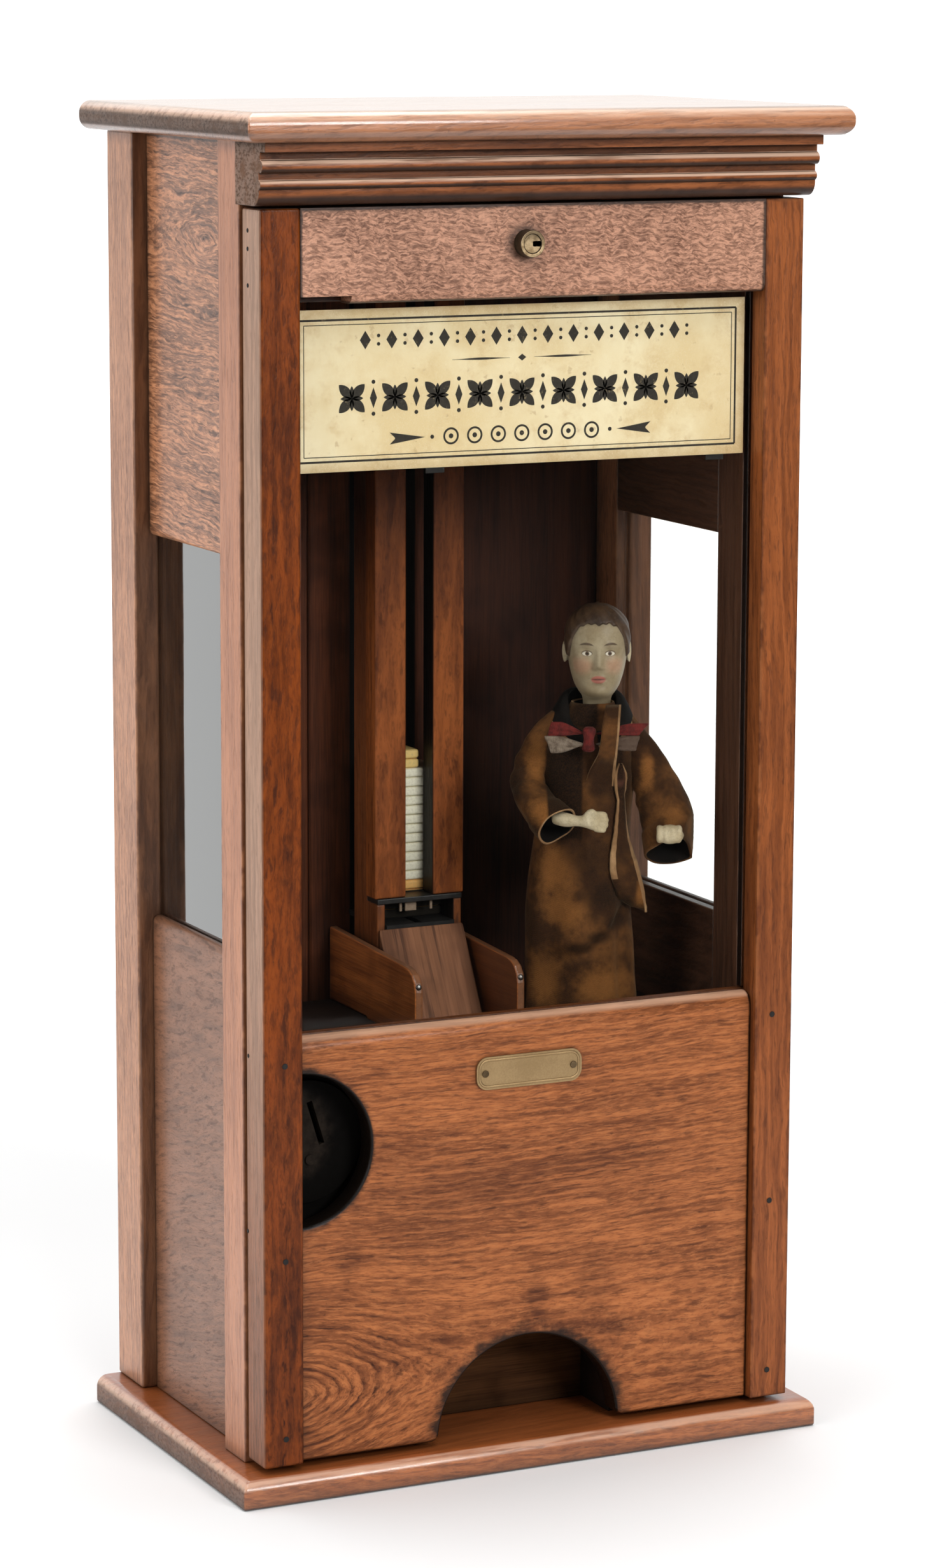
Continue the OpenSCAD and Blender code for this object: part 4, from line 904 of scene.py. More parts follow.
def dot(x, z, r, n=20):
    return plate([(x + r * math.cos(-2 * math.pi * i / n), z + r * math.sin(-2 * math.pi * i / n)) for i in range(n)], *INK)


def petal(x, z, a, l, w, n=12):
    """A leaf from (x, z) along angle a."""
    ca, sa = math.cos(a), math.sin(a)
    up = [(l * i / n, w / 2 * math.sin(math.pi * i / n) ** 0.8) for i in range(n + 1)]
    pts = up + [(p, -q) for p, q in up[-2:0:-1]]
    return plate([(x + p * ca - q * sa, z + p * sa + q * ca) for p, q in pts][::-1], *INK)


def ring(x, z, r, t, n=28):
    v, f = [], []
    for i in range(n):
        a = 2 * math.pi * i / n
        for rr in (r - t / 2, r + t / 2):
            for y in INK:
                v.append((x + rr * math.cos(a), y, z + rr * math.sin(a)))
    for i in range(n):
        a, b = 4 * i, 4 * ((i + 1) % n)
        f += [(a, b, b + 2, a + 2), (a + 1, a + 3, b + 3, b + 1), (a, a + 1, b + 1, b), (a + 2, b + 2, b + 3, a + 3)]
    return v, f


def arrow(x, z, s):
    """A slim arrowhead with two barbs beneath."""
    a = plate([(x, z), (x + s * 17, z + 2.6), (x + s * 14.5, z + 0.3), (x + s * 14.5, z - 0.3), (x + s * 17, z - 2.6)][::s], *INK)
    return merge([a, dot(x - s * 3.4, z, 0.9)])


def card_print():
    x0, x1, zm = -112.0, 110.5, 489.5
    mid = (x0 + x1) / 2
    s = []
    for inset, t in ((4.5, 0.9), (6.6, 0.35)):
        s += [bar(x0 + inset, x1 - inset, 524.5 - inset, t), bar(x0 + inset, x1 - inset, 454.5 + inset, t)]
        for x in (x0 + inset, x1 - inset):
            s.append(plate([(x - t / 2, 454.5 + inset), (x + t / 2, 454.5 + inset), (x + t / 2, 524.5 - inset), (x - t / 2, 524.5 - inset)], *INK))
    for k in range(-6, 7):  # upper row: lozenges between pairs of dots
        x = mid + k * 12.6
        s += [diamond(x, 511.0, 5.2, 8.0), dot(x + 6.3, 512.8, 0.8), dot(x + 6.3, 509.2, 0.8)]
    s += [swelled(mid - 34, mid - 6, 501.2, 1.0), swelled(mid + 6, mid + 34, 501.2, 1.0), diamond(mid, 501.2, 4.0, 3.0)]
    for k in range(-4, 5):  # heavy middle row: four-leaved flowers joined by a rule
        x = mid + k * 20.5
        for q in range(4):
            s.append(petal(x, 486.0, math.pi / 4 + q * math.pi / 2, 8.6, 4.4))
        for q in range(4):
            s.append(petal(x, 486.0, q * math.pi / 2, 5.4, 2.0))
        if k < 4:
            s += [diamond(x + 10.25, 486.0, 3.4, 9.0), dot(x + 10.25, 492.9, 0.9), dot(x + 10.25, 479.1, 0.9)]
    s += [arrow(mid - 47, 468.0, -1), arrow(mid + 47, 468.0, 1)]
    for k in range(-3, 4):  # lower row: rings
        s += [ring(mid + k * 11.5, 468.0, 3.3, 0.9), dot(mid + k * 11.5, 468.0, 1.1)]
    v, f = merge(s)
    o = make("card_print", v, f, ["ink"], "door", smooth=False)
    return o


card_print()


# ------------------------------------------------------------------ small fittings
def dome(x, y, z, r, h, axis=(0, -1, 0), n=18, rows=5):
    """A low round nail head."""
    a = Vector(axis).normalized()
    b = a.orthogonal().normalized()
    c = a.cross(b)
    v = []
    for i in range(rows):
        k = math.pi / 2 * i / rows
        rr, hh = r * math.cos(k), h * math.sin(k)
        for j in range(n):
            q = 2 * math.pi * j / n
            v.append(tuple(Vector((x, y, z)) + b * rr * math.cos(q) + c * rr * math.sin(q) + a * hh))
    v.append(tuple(Vector((x, y, z)) + a * h))
    f = grid_faces(rows, n) + [((rows - 1) * n + j, (rows - 1) * n + (j + 1) % n, rows * n) for j in range(n)] + [tuple(range(n - 1, -1, -1))]
    return v, f


def plate_rim():
    """A raised bead round the edge of the brass plate."""
    def line(inset):
        r = 5.5 - inset
        pts = []
        for cx, cz, base in ((20.75, 2.0, 0.0), (-20.75, 2.0, 0.5), (-20.75, -2.0, 1.0), (20.75, -2.0, 1.5)):
            pts += [(cx + r * math.cos(math.pi * (base + i / 20)), cz + r * math.sin(math.pi * (base + i / 20))) for i in range(11)]
        return [(x - 1.0, z + 183.4) for x, z in pts]
    prof = [(0.9, -73.2), (1.1, -73.45), (1.5, -73.5), (1.9, -73.45), (2.1, -73.2), (1.5, -73.1)]
    rings = [[(x, y, z) for x, z in line(i)] for i, y in prof]
    m = len(rings[0])
    v = [p for r in rings for p in r]
    n = len(prof)
    f = []
    for i in range(n):
        for j in range(m):
            a, b = i * m + j, i * m + (j + 1) % m
            c, d = ((i + 1) % n) * m + (j + 1) % m, ((i + 1) % n) * m + j
            f.append((a, b, c, d))
    make("plate_rim", v, f, ["brass_plate"], "door")


plate_rim()


def small_nails():
    s = [dome(x, -9.75, 210.4, 1.45, 1.0) for x in (-26, 26)]
    v, f = merge(s)
    make("cheek_nails", v, f, ["steel"], "cabinet")
    s = []
    for y, z in ((-63.3, 559.3), (-63.3, 551.5), (-63.3, 536.0), (-59.8, 199.8), (-58.4, 120.3)):  # stile side, near the joints
        s.append(dome(-132.0, y, z, 1.0, 0.35, axis=(-1, 0, 0)))
    for z in (548, 541, 188, 176):
        s.append(dome(132.0, -66.5, z, 1.0, 0.35, axis=(1, 0, 0)))
    v, f = merge(s)
    make("stile_nails", v, f, ["iron"], "door")


small_nails()


def back_seams():
    """Dirt packed into the two joints of the back boards, a little hollow on both faces."""
    lo, hi = [[c / MM for c in p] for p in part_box("back_boards")]
    half = hi[0] + 0.15
    y0, y1, z0, z1 = lo[1] + 2.0, hi[1] - 1.2, lo[2] + 0.05, hi[2] - 0.05
    s = []
    for x in (-half / 3, half / 3):
        sec = [(x - 0.17, y0), (x, y0 + 0.3), (x + 0.17, y0), (x + 0.17, y1), (x, y1 - 0.3), (x - 0.17, y1)]
        n = len(sec)
        v = [(a, b, z) for z in (z0, z1) for a, b in sec]
        f = [tuple(range(n - 1, -1, -1)), tuple(range(n, 2 * n))] + [(i, (i + 1) % n, (i + 1) % n + n, i + n) for i in range(n)]
        s.append((v, f))
    v, f = merge(s)
    make("back_seams", v, f, ["dark_x"], "cabinet", smooth=False)


back_seams()



# ------------------------------------------------------------------ doll
# Points are in the doll's own axes: Z is the spindle, -Y its front.
FACING = math.radians(-24.5)
DOLL = Matrix.Translation((0.061, -0.012, 0.0)) @ Matrix.Rotation(FACING, 4, "Z")
REACH = 47.3  # nothing on the doll stands further from the spindle


def inside_reach(p):
    r = math.hypot(p[0], p[1])
    k = min(1.0, REACH / r) if r > 0 else 1.0
    return (p[0] * k, p[1] * k, p[2])


def ripple(*p):
    """Smooth noise from about -1 to 1."""
    return noise.noise(Vector(p)) * 1.6


GOWN_CX = [(192, -5.4), (203, -5.5), (238, -6.2), (261, -5.4), (300, -2.4), (337, 0.0)]
GOWN_RX = [(192, 26.2), (203, 26.0), (238, 24.0), (261, 22.8), (285, 21.6), (308, 21.2), (320, 20.0), (328, 16.0), (333, 12.5), (338, 9.6)]
GOWN_RY = [(192, 24.0), (215, 23.6), (250, 22.4), (285, 19.4), (308, 17.0), (320, 15.0), (328, 12.6), (333, 10.8), (338, 9.2)]


def gown_point(a, z, out=0.0):
    """The gown's surface at an angle round the spindle: -90 degrees is the front."""
    hang = smoothstep(322, 205, z)
    w = math.cos(5 * a + 0.7 + 0.012 * (z - 192)) * 0.9 + math.cos(8 * a + 2.1 - 0.010 * (z - 192)) * 0.65 + math.cos(13 * a + 0.4) * 0.28
    w += ripple(2.2 * math.cos(a), 2.2 * math.sin(a), z * 0.018) * 1.0
    fold = hang * 1.05 * w
    sag = 0.45 * ripple(math.cos(a) * 1.5 + 7, math.sin(a) * 1.5, z * 0.06)
    front = max(0.0, -math.sin(a))
    x0 = lerp(GOWN_CX, z)
    px = math.cos(a) * lerp(GOWN_RX, z)
    band = front * smoothstep(236, 262, z) * smoothstep(330, 312, z) * (smoothstep(-5.5, -3.5, px + x0) * smoothstep(12.0, 10.0, px + x0))
    lie = z - lerp([(-22, 222.0), (-8, 225.5), (2.5, 230.5), (10, 238.0), (16, 247.0)], px + x0)
    droop = front * 2.2 * (math.exp(-((lie - 5.0) / 5.0) ** 2) - 0.7 * math.exp(-((lie + 2.5) / 3.0) ** 2)) * smoothstep(18, 12, px + x0) * smoothstep(-28, -12, px + x0)
    r = fold + sag + band * 1.1 + droop + out
    return (x0 + math.cos(a) * (lerp(GOWN_RX, z) + r), math.sin(a) * (lerp(GOWN_RY, z) + r), z)


def gown():
    m, zs = 120, [192.6 + 145.0 * i / 64 for i in range(65)]
    v = []
    for z in zs:
        for j in range(m):
            a = 2 * math.pi * j / m
            zz = z + (0.9 * math.cos(5 * a + 0.7) * smoothstep(205, 192, z) if z > 192.7 else 0.0)
            v.append(gown_point(a, zz) if z > 192.7 else gown_point(a, z))
    o = make("doll_gown", v, grid_faces(len(zs), m), ["robe", "robe_in", "robe_edge"], "doll", DOLL)
    solidify(o, 1.2, -1.0, inner=1, rim=2)
    bake_mesh(o)
    return o


def flap(name, left, right, cols, lift, bare):
    """A loose front corner of the gown between two edge lines, bulging off the cloth beneath."""
    rows = len(left)
    v = []
    for i in range(rows):
        p, q = Vector(left[i]), Vector(right[i])
        n = Vector(((p[0] + q[0]) / 2 + 4, (p[1] + q[1]) / 2, 0)).normalized()
        for j in range(cols):
            k = j / (cols - 1)
            w = p.lerp(q, k)
            up = lift * math.sin(math.pi * k) * smoothstep(0.0, 0.4, i / (rows - 1))
            w = w + n * (up + 0.3 * ripple(k * 2, i * 0.18, lift))
            v.append(inside_reach(w))
    f = grid_faces(rows, cols, wrap=False)
    wide = 2 if bare else 1
    slots = [2 if (q % (cols - 1)) > cols - 2 - wide or ((q % (cols - 1)) < wide and q // (cols - 1) < bare) else 0 for q in range(len(f))]
    return make(name, v, f, ["robe", "robe_in", "robe_edge"], "doll", DOLL, slots=slots)


def curve(points, n):
    """n points on a smooth line through the given ones."""
    pts = [Vector(p) for p in points]
    out = []
    for i in range(n):
        t = (len(pts) - 1) * i / (n - 1)
        k = min(int(t), len(pts) - 2)
        u = t - k
        p0, p1, p2, p3 = pts[max(k - 1, 0)], pts[k], pts[k + 1], pts[min(k + 2, len(pts) - 1)]
        out.append(0.5 * ((2 * p1) + (p2 - p0) * u + (2 * p0 - 5 * p1 + 4 * p2 - p3) * u * u + (3 * p1 - p0 - 3 * p2 + p3) * u * u * u))
    return out


def flaps():
    def on_gown(x, z, out):
        """The point of the gown's front at that x and height."""
        best = None
        for i in range(181):
            a = -math.pi + math.pi * i / 180
            p = gown_point(a, z, out)
            if best is None or abs(p[0] - x) < abs(best[0] - x):
                best = p
        return Vector(best)
    n = 30
    zs = [311.0 + (241.3 - 311.0) * i / (n - 1) for i in range(n)]
    left = [on_gown(lerp([(241, 19.0), (247, 13.0), (256, 9.0), (265, 7.6), (294, 10.8), (300, 9.8), (306, 9.6), (311, 11.6)], z), z, 1.5 - 0.9 * smoothstep(266, 250, z)) + Vector((2.6, -1.0, 0)) * smoothstep(250, 241, z) for z in zs]
    right = [on_gown(lerp([(241, 17.4), (265, 16.2), (285, 14.8), (296, 14.2), (300, 15.0), (306, 15.2), (311, 13.0)], z), z, 2.4) + Vector((7.4, -3.4, 0)) * smoothstep(288, 243, z) for z in zs]
    a = flap("doll_flap", left, right, 12, 1.3, 22)
    # lapel: the front edge carried up past the bow to the neck
    n = 26
    zs = [338.0 + (296.0 - 338.0) * i / (n - 1) for i in range(n)]
    ys = [(300, -20.0), (312, -23.2), (318, -27.0), (329, -27.2), (333, -24.0), (338, -17.0)]
    xl = [(296, -4.0), (304, -3.4), (311, -1.0), (318, 1.6), (330, 3.2), (338, 5.2)]
    xr = [(296, 9.8), (310, 9.8), (320, 10.2), (330, 11.0), (338, 12.2)]
    left, right = [], []
    for z in zs:
        k = smoothstep(303, 316, z)
        for out, xs, back, sunk in ((left, xl, 0.0, 0.8), (right, xr, 1.2, 0.0)):
            x = lerp(xs, z)
            out.append(on_gown(x, z, -1.2 - sunk + 2.2 * smoothstep(296, 306, z)) * (1 - k) + Vector((x, lerp(ys, z) + back, z)) * k)
    b = flap("doll_lapel", left, right, 9, 0.5, 0)
    for o in (a, b):
        solidify(o, 1.0, 0.0, inner=0, rim=2)
        bake_mesh(o)
    return [a, b]


def tube_frames(path):
    """A direction and two steady cross axes at every point of a path."""
    out, side = [], None
    for i, p in enumerate(path):
        d = (path[min(i + 1, len(path) - 1)] - path[max(i - 1, 0)]).normalized()
        if side is None:
            side = Vector((0, -1, 0)) - d * d.dot(Vector((0, -1, 0)))
        side = (side - d * side.dot(d)).normalized()
        out.append((p, d, side, d.cross(side)))
    return out


def sleeve(name, points, radii, flatten, seed, cuff, rim):
    """A wide felt sleeve: creased at the bend, with a turned-back cuff and a dark inside."""
    n, m = 46, 56
    path = curve(points, n)
    v = []
    for i, (p, d, s, u) in enumerate(tube_frames(path)):
        k = i / (n - 1)
        r = lerp(radii, k)
        bend = math.exp(-((k - 0.52) / 0.17) ** 2)
        for j in range(m):
            a = 2 * math.pi * j / m
            crease = bend * 0.75 * math.sin(k * 46 + 2.0 * math.sin(a + seed)) * (0.5 + 0.5 * math.cos(a - 0.6))
            hang = 0.8 * ripple(math.cos(a) * 1.3 + seed, math.sin(a) * 1.3, k * 3.0)
            lip = 0.9 * smoothstep(cuff - 0.012, cuff + 0.012, k)
            w = p + s * math.cos(a) * (r * flatten + crease + hang + lip) + u * math.sin(a) * (r + crease + hang + lip)
            v.append(inside_reach(w))
    f = grid_faces(n, m)
    o = make(name, v, f, ["robe", "robe_in", "robe_edge"], "doll", DOLL)
    solidify(o, 1.1, -1.0, inner=1, rim=rim)
    bake_mesh(o)
    return o


def collar():
    """A shawl collar: a turned-down band round the neck, its ends meeting low in front."""
    n, m = 72, 12
    v = []
    for i in range(n):
        k = i / (n - 1)
        a = math.radians(-90 + 7 + (360 - 14) * k)
        f = smoothstep(0.36, 0.02, min(k, 1 - k))  # 1 in front, 0 behind
        r0 = 9.4 + 2.6 * f
        z0 = 342.0 - 17.0 * f ** 1.4
        r1 = 17.8 - 0.8 * f
        z1 = 330.5 - 11.0 * f ** 1.3
        for j in range(m):
            t = j / (m - 1)
            r = r0 + (r1 - r0) * t
            z = z0 + (z1 - z0) * t ** 1.6 + 1.7 * math.sin(math.pi * t) * (1 - 0.4 * f)
            r += 0.35 * ripple(k * 9, t * 2, 3.0)
            sq = 1.0 - 0.06 * f
            v.append((math.cos(a) * r * 1.08 - 0.2, math.sin(a) * (r * sq + 3.6 * f * t), z))
    f = grid_faces(n, m, wrap=False)
    slots = [2 if q % (m - 1) >= m - 2 else 1 for q in range(len(f))]
    o = make("doll_collar", v, f, ["robe", "robe_in", "robe_edge"], "doll", DOLL, slots=slots)
    solidify(o, 1.1, 0.0, inner=0, rim=0)
    bake_mesh(o)


def loop(x0, x1, zk, za, zb, y, puff, seed, tip):
    """One ribbon loop: pleated at the knot, puffed and slant-ended. Returns points and faces."""
    n, m = 16, 14
    v = []
    for side in (-1, 1):
        for i in range(n):
            k = i / (n - 1)
            x = x0 + (x1 - x0) * k
            top = zk + (za - zk) * smoothstep(-0.15, 0.75, k)
            low = zk + (zb - zk) * smoothstep(-0.15, 0.75, k)
            for j in range(m):
                t = j / (m - 1)
                z = low + (top - low) * t
                pleat = 0.55 * math.cos(t * math.pi * 5 + seed) * (1 - 0.7 * k)
                bulge = math.sin(math.pi * min(1.0, 0.12 + 0.88 * k) ** 0.8) * math.sin(math.pi * t) ** 0.7
                yy = y + side * (0.35 + puff * (1.0 if side < 0 else 0.5) * bulge) + pleat * (1 if 0 < j < m - 1 else 0.2)
                xx = x + tip * (t - 0.5) * k ** 2 + 0.3 * ripple(k * 3, t * 3, seed)
                v.append(inside_reach((xx, yy, z)))
    g = n * m
    f = grid_faces(n, m, wrap=False)
    f += [tuple(q + g for q in reversed(p)) for p in grid_faces(n, m, wrap=False)]
    rim = [i * m for i in range(n)] + [(n - 1) * m + j for j in range(1, m)] + [i * m + m - 1 for i in range(n - 2, -1, -1)] + list(range(m - 2, 0, -1))
    f += [(a, b, b + g, a + g) for a, b in zip(rim, rim[1:] + rim[:1])]
    return v, f


def knot():
    n, m = 11, 22
    v = []
    for i in range(n):
        t = i / (n - 1)
        z = 329.8 - 11.8 * t
        w = 3.1 - 0.55 * math.sin(math.pi * t) + 0.25 * math.sin(t * 9)
        for j in range(m):
            a = 2 * math.pi * j / m
            cr = 0.22 * math.cos(3 * a + t * 4)
            e = 0.55 if i in (0, n - 1) else 1.0
            v.append((-2.8 + math.cos(a) * (w + cr) * e, -25.6 + math.sin(a) * (2.5 + cr) * e, z))
    f = grid_faces(n, m) + [tuple(range(m - 1, -1, -1)), tuple(range((n - 1) * m, n * m))]
    return v, f


def bow():
    red = [loop(-4.5, -20.8, 326.4, 331.8, 325.0, -24.4, 1.3, 0.3, 1.5), loop(0.5, 22.4, 326.0, 331.0, 325.2, -23.6, 1.0, 1.9, 5.0), knot()]
    white = [loop(-4.5, -21.6, 321.6, 325.4, 317.4, -24.9, 1.5, 1.1, -3.0), loop(0.5, 19.6, 321.4, 325.2, 318.2, -23.9, 1.1, 2.4, 2.0)]
    v, f = merge(red)
    a = make("doll_bow_red", v, f, ["ribbon_red"], "doll", DOLL)
    v, f = merge(white)
    b = make("doll_bow_white", v, f, ["ribbon_white"], "doll", DOLL)
    for o in (a, b):
        subdivide(o, 1)
        bake_mesh(o)
    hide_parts("doll_bow")


def blob(c, r, n=14, m=18, axis=None):
    """An oval ball. axis turns its third radius that way."""
    q = Vector((0, 0, 1)).rotation_difference(Vector(axis).normalized()) if axis else None
    v = []
    for i in range(1, n):
        t = math.pi * i / n
        for j in range(m):
            a = 2 * math.pi * j / m
            p = Vector((r[0] * math.sin(t) * math.cos(a), r[1] * math.sin(t) * math.sin(a), r[2] * math.cos(t)))
            v.append(tuple(Vector(c) + (q @ p if q else p)))
    ends = [Vector((0, 0, r[2])), Vector((0, 0, -r[2]))]
    v += [tuple(Vector(c) + (q @ e if q else e)) for e in ends]
    f = grid_faces(n - 1, m)
    k = (n - 1) * m
    f += [(k, (j + 1) % m, j) for j in range(m)] + [(k + 1, k - m + j, k - m + (j + 1) % m) for j in range(m)]
    return v, f


def rod(points, radii, n=14, m=14):
    """A rounded finger along a path."""
    path = curve(points, n)
    v = []
    for i, (p, d, s, u) in enumerate(tube_frames(path)):
        r = lerp(radii, i / (n - 1))
        for j in range(m):
            a = 2 * math.pi * j / m
            v.append(tuple(p + s * math.cos(a) * r + u * math.sin(a) * r))
    v += [tuple(path[0] - (path[1] - path[0]).normalized() * radii[0][1] * 0.6), tuple(path[-1] + (path[-1] - path[-2]).normalized() * radii[-1][1] * 0.8)]
    f = grid_faces(n, m)
    k = n * m
    f += [(k, (j + 1) % m, j) for j in range(m)] + [(k + 1, k - m + j, k - m + (j + 1) % m) for j in range(m)]
    return v, f


def hands():
    s = []
    # reaching hand: wrist, palm, four half-closed fingers and a thumb on top
    s.append(rod([(-18, -26.5, 288.0), (-13, -29.5, 287.4), (-7, -31.8, 287.2), (-3, -32.6, 287.4)], [(0, 3.2), (0.35, 3.3), (0.62, 2.5), (1, 3.6)]))
    s.append(blob((-0.4, -32.8, 287.2), (4.6, 2.9, 4.1)))
    for q, (dz, l) in enumerate(((3.4, 5.2), (1.2, 6.0), (-1.1, 5.8), (-3.3, 4.6))):
        s.append(rod([(-0.1, -33.6, 287.2 + dz), (-0.1 + l * 0.6, -34.3, 287.2 + dz * 1.05), (-0.2 + l * 0.85, -33.4, 286.8 + dz), (-0.8 + l * 0.85, -31.6, 286.4 + dz)], [(0, 1.5), (0.6, 1.5), (1, 1.2)]))
    s.append(rod([(-4.5, -33.2, 289.2), (-2.6, -34.0, 291.6), (-0.6, -34.4, 292.2)], [(0, 1.6), (0.6, 1.5), (1, 1.2)]))
    # resting hand: a loose fist looking forward
    s.append(rod([(37, -12, 280.6), (36, -18, 280.6), (35.2, -22, 280.2)], [(0, 3.4), (0.6, 3.2), (1, 4.0)]))
    s.append(blob((34.6, -24.2, 279.8), (5.4, 4.2, 4.4)))
    s.append(blob((34.4, -26.2, 279.8), (6.2, 3.4, 4.3)))
    for q, (dx, l) in enumerate(((-4.6, 0.0), (-1.6, 0.7), (1.4, 0.6), (4.2, -0.4))):
        s.append(rod([(34.4 + dx, -24.6, 283.0), (34.4 + dx, -27.6 - l * 0.5, 282.0), (34.3 + dx, -28.0 - l * 0.5, 278.8), (34.3 + dx, -26.2, 276.8)], [(0, 1.5), (0.6, 1.6), (1, 1.3)]))
    s.append(rod([(38.6, -22.5, 280.6), (39.4, -25.8, 279.2), (37.6, -28.2, 277.8)], [(0, 1.7), (0.6, 1.6), (1, 1.3)]))
    v, f = merge(s)
    o = make("doll_hands_painted", v, f, ["hand_paint"], "doll", DOLL)
    r = o.modifiers.new("skin", "REMESH")
    r.mode = "VOXEL"
    r.voxel_size = 0.00045
    k = o.modifiers.new("soft", "SMOOTH")
    k.factor = 0.5
    k.iterations = 14
    bake_mesh(o)
    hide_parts("doll_hands")


HEAD_Z = 361.0
HEAD_W = [(-31, 6.4), (-23.5, 6.4), (-20.5, 7.0), (-18.5, 8.4), (-15, 10.4), (-8, 12.5), (0, 13.7), (6, 14.1), (11, 13.6), (15, 12.0), (18, 9.6), (20, 7.0), (21.3, 4.2), (22, 0.0)]
HEAD_F = [(-31, 6.0), (-22.6, 6.6), (-21.0, 8.4), (-19.8, 10.8), (-18.2, 12.4), (-15.5, 12.9), (-12, 12.9), (-8, 13.1), (-3, 13.6), (2, 13.8), (6, 14.4), (11, 13.9), (15, 12.2), (18, 9.7), (20, 7.0), (21.3, 4.2), (22, 0.0)]
HEAD_B = [(-31, 7.6), (-21, 7.6), (-15, 9.2), (-9, 12.4), (-3, 14.6), (3, 15.6), (9, 15.2), (13, 13.8), (16.5, 11.3), (19.5, 7.8), (21.3, 4.4), (22, 0.0)]
BUMPS = [  # x, z, width, height, depth of each feature of a plain moulded face, on even thirds
    (0, 1.5, 1.5, 3.2, 0.9), (0, -2.0, 1.7, 2.6, 1.4), (0, -4.9, 1.9, 1.9, 2.1), (1.9, -6.1, 1.1, 1.1, 0.8), (-1.9, -6.1, 1.1, 1.1, 0.8),
    (5.3, 0.6, 2.5, 1.9, -1.3), (-5.3, 0.6, 2.5, 1.9, -1.3), (5.3, 0.4, 1.9, 1.15, 0.9), (-5.3, 0.4, 1.9, 1.15, 0.9),
    (5.2, 4.6, 3.0, 1.3, 0.6), (-5.2, 4.6, 3.0, 1.3, 0.6), (7.4, -5.0, 3.4, 3.4, 0.6), (-7.4, -5.0, 3.4, 3.4, 0.6),
    (0, -10.6, 2.9, 0.85, 0.75), (0, -12.7, 2.4, 0.85, 0.8), (0, -11.65, 3.2, 0.34, -0.55), (0, -14.6, 3.0, 1.0, -0.5), (0, -17.4, 3.2, 2.0, 0.7),
]


def head_point(a, dz, out=0.0):
    w, f, b = lerp(HEAD_W, dz), lerp(HEAD_F, dz), lerp(HEAD_B, dz)
    c, s = math.cos(a), math.sin(a)
    x = c * (w + out)
    y = (-(f + out) * abs(s) ** 0.9) if s < 0 else (b + out) * s
    if s < 0:
        k = 0.0
        for bx, bz, sx, sz, d in BUMPS:
            k += d * math.exp(-((x - bx) / sx) ** 2 - ((dz - bz) / sz) ** 2)
        y -= k * smoothstep(0.0, 0.5, -s)
    return (x + 2.0, y, HEAD_Z + dz)


def head_rows():
    rows = [-31 + 9.0 * i / 8 for i in range(8)] + [-22 + 40.0 * i / 92 for i in range(93)]
    top = [18 + 4.0 * math.sin(math.pi / 2 * i / 16) for i in range(1, 16)]
    return rows + top


def hairline(a):
    """Height of the hair's edge round the head: high over the brow, down before the ears, low at the nape."""
    d = abs((math.degrees(a) + 90 + 180) % 360 - 180)  # 0 in front, 180 behind
    return lerp([(0, 13.2), (22, 13.6), (44, 11.0), (60, 4.0), (72, -2.2), (80, -1.0), (92, 3.0), (104, -3.0), (122, -11.0), (180, -13.0)], d)


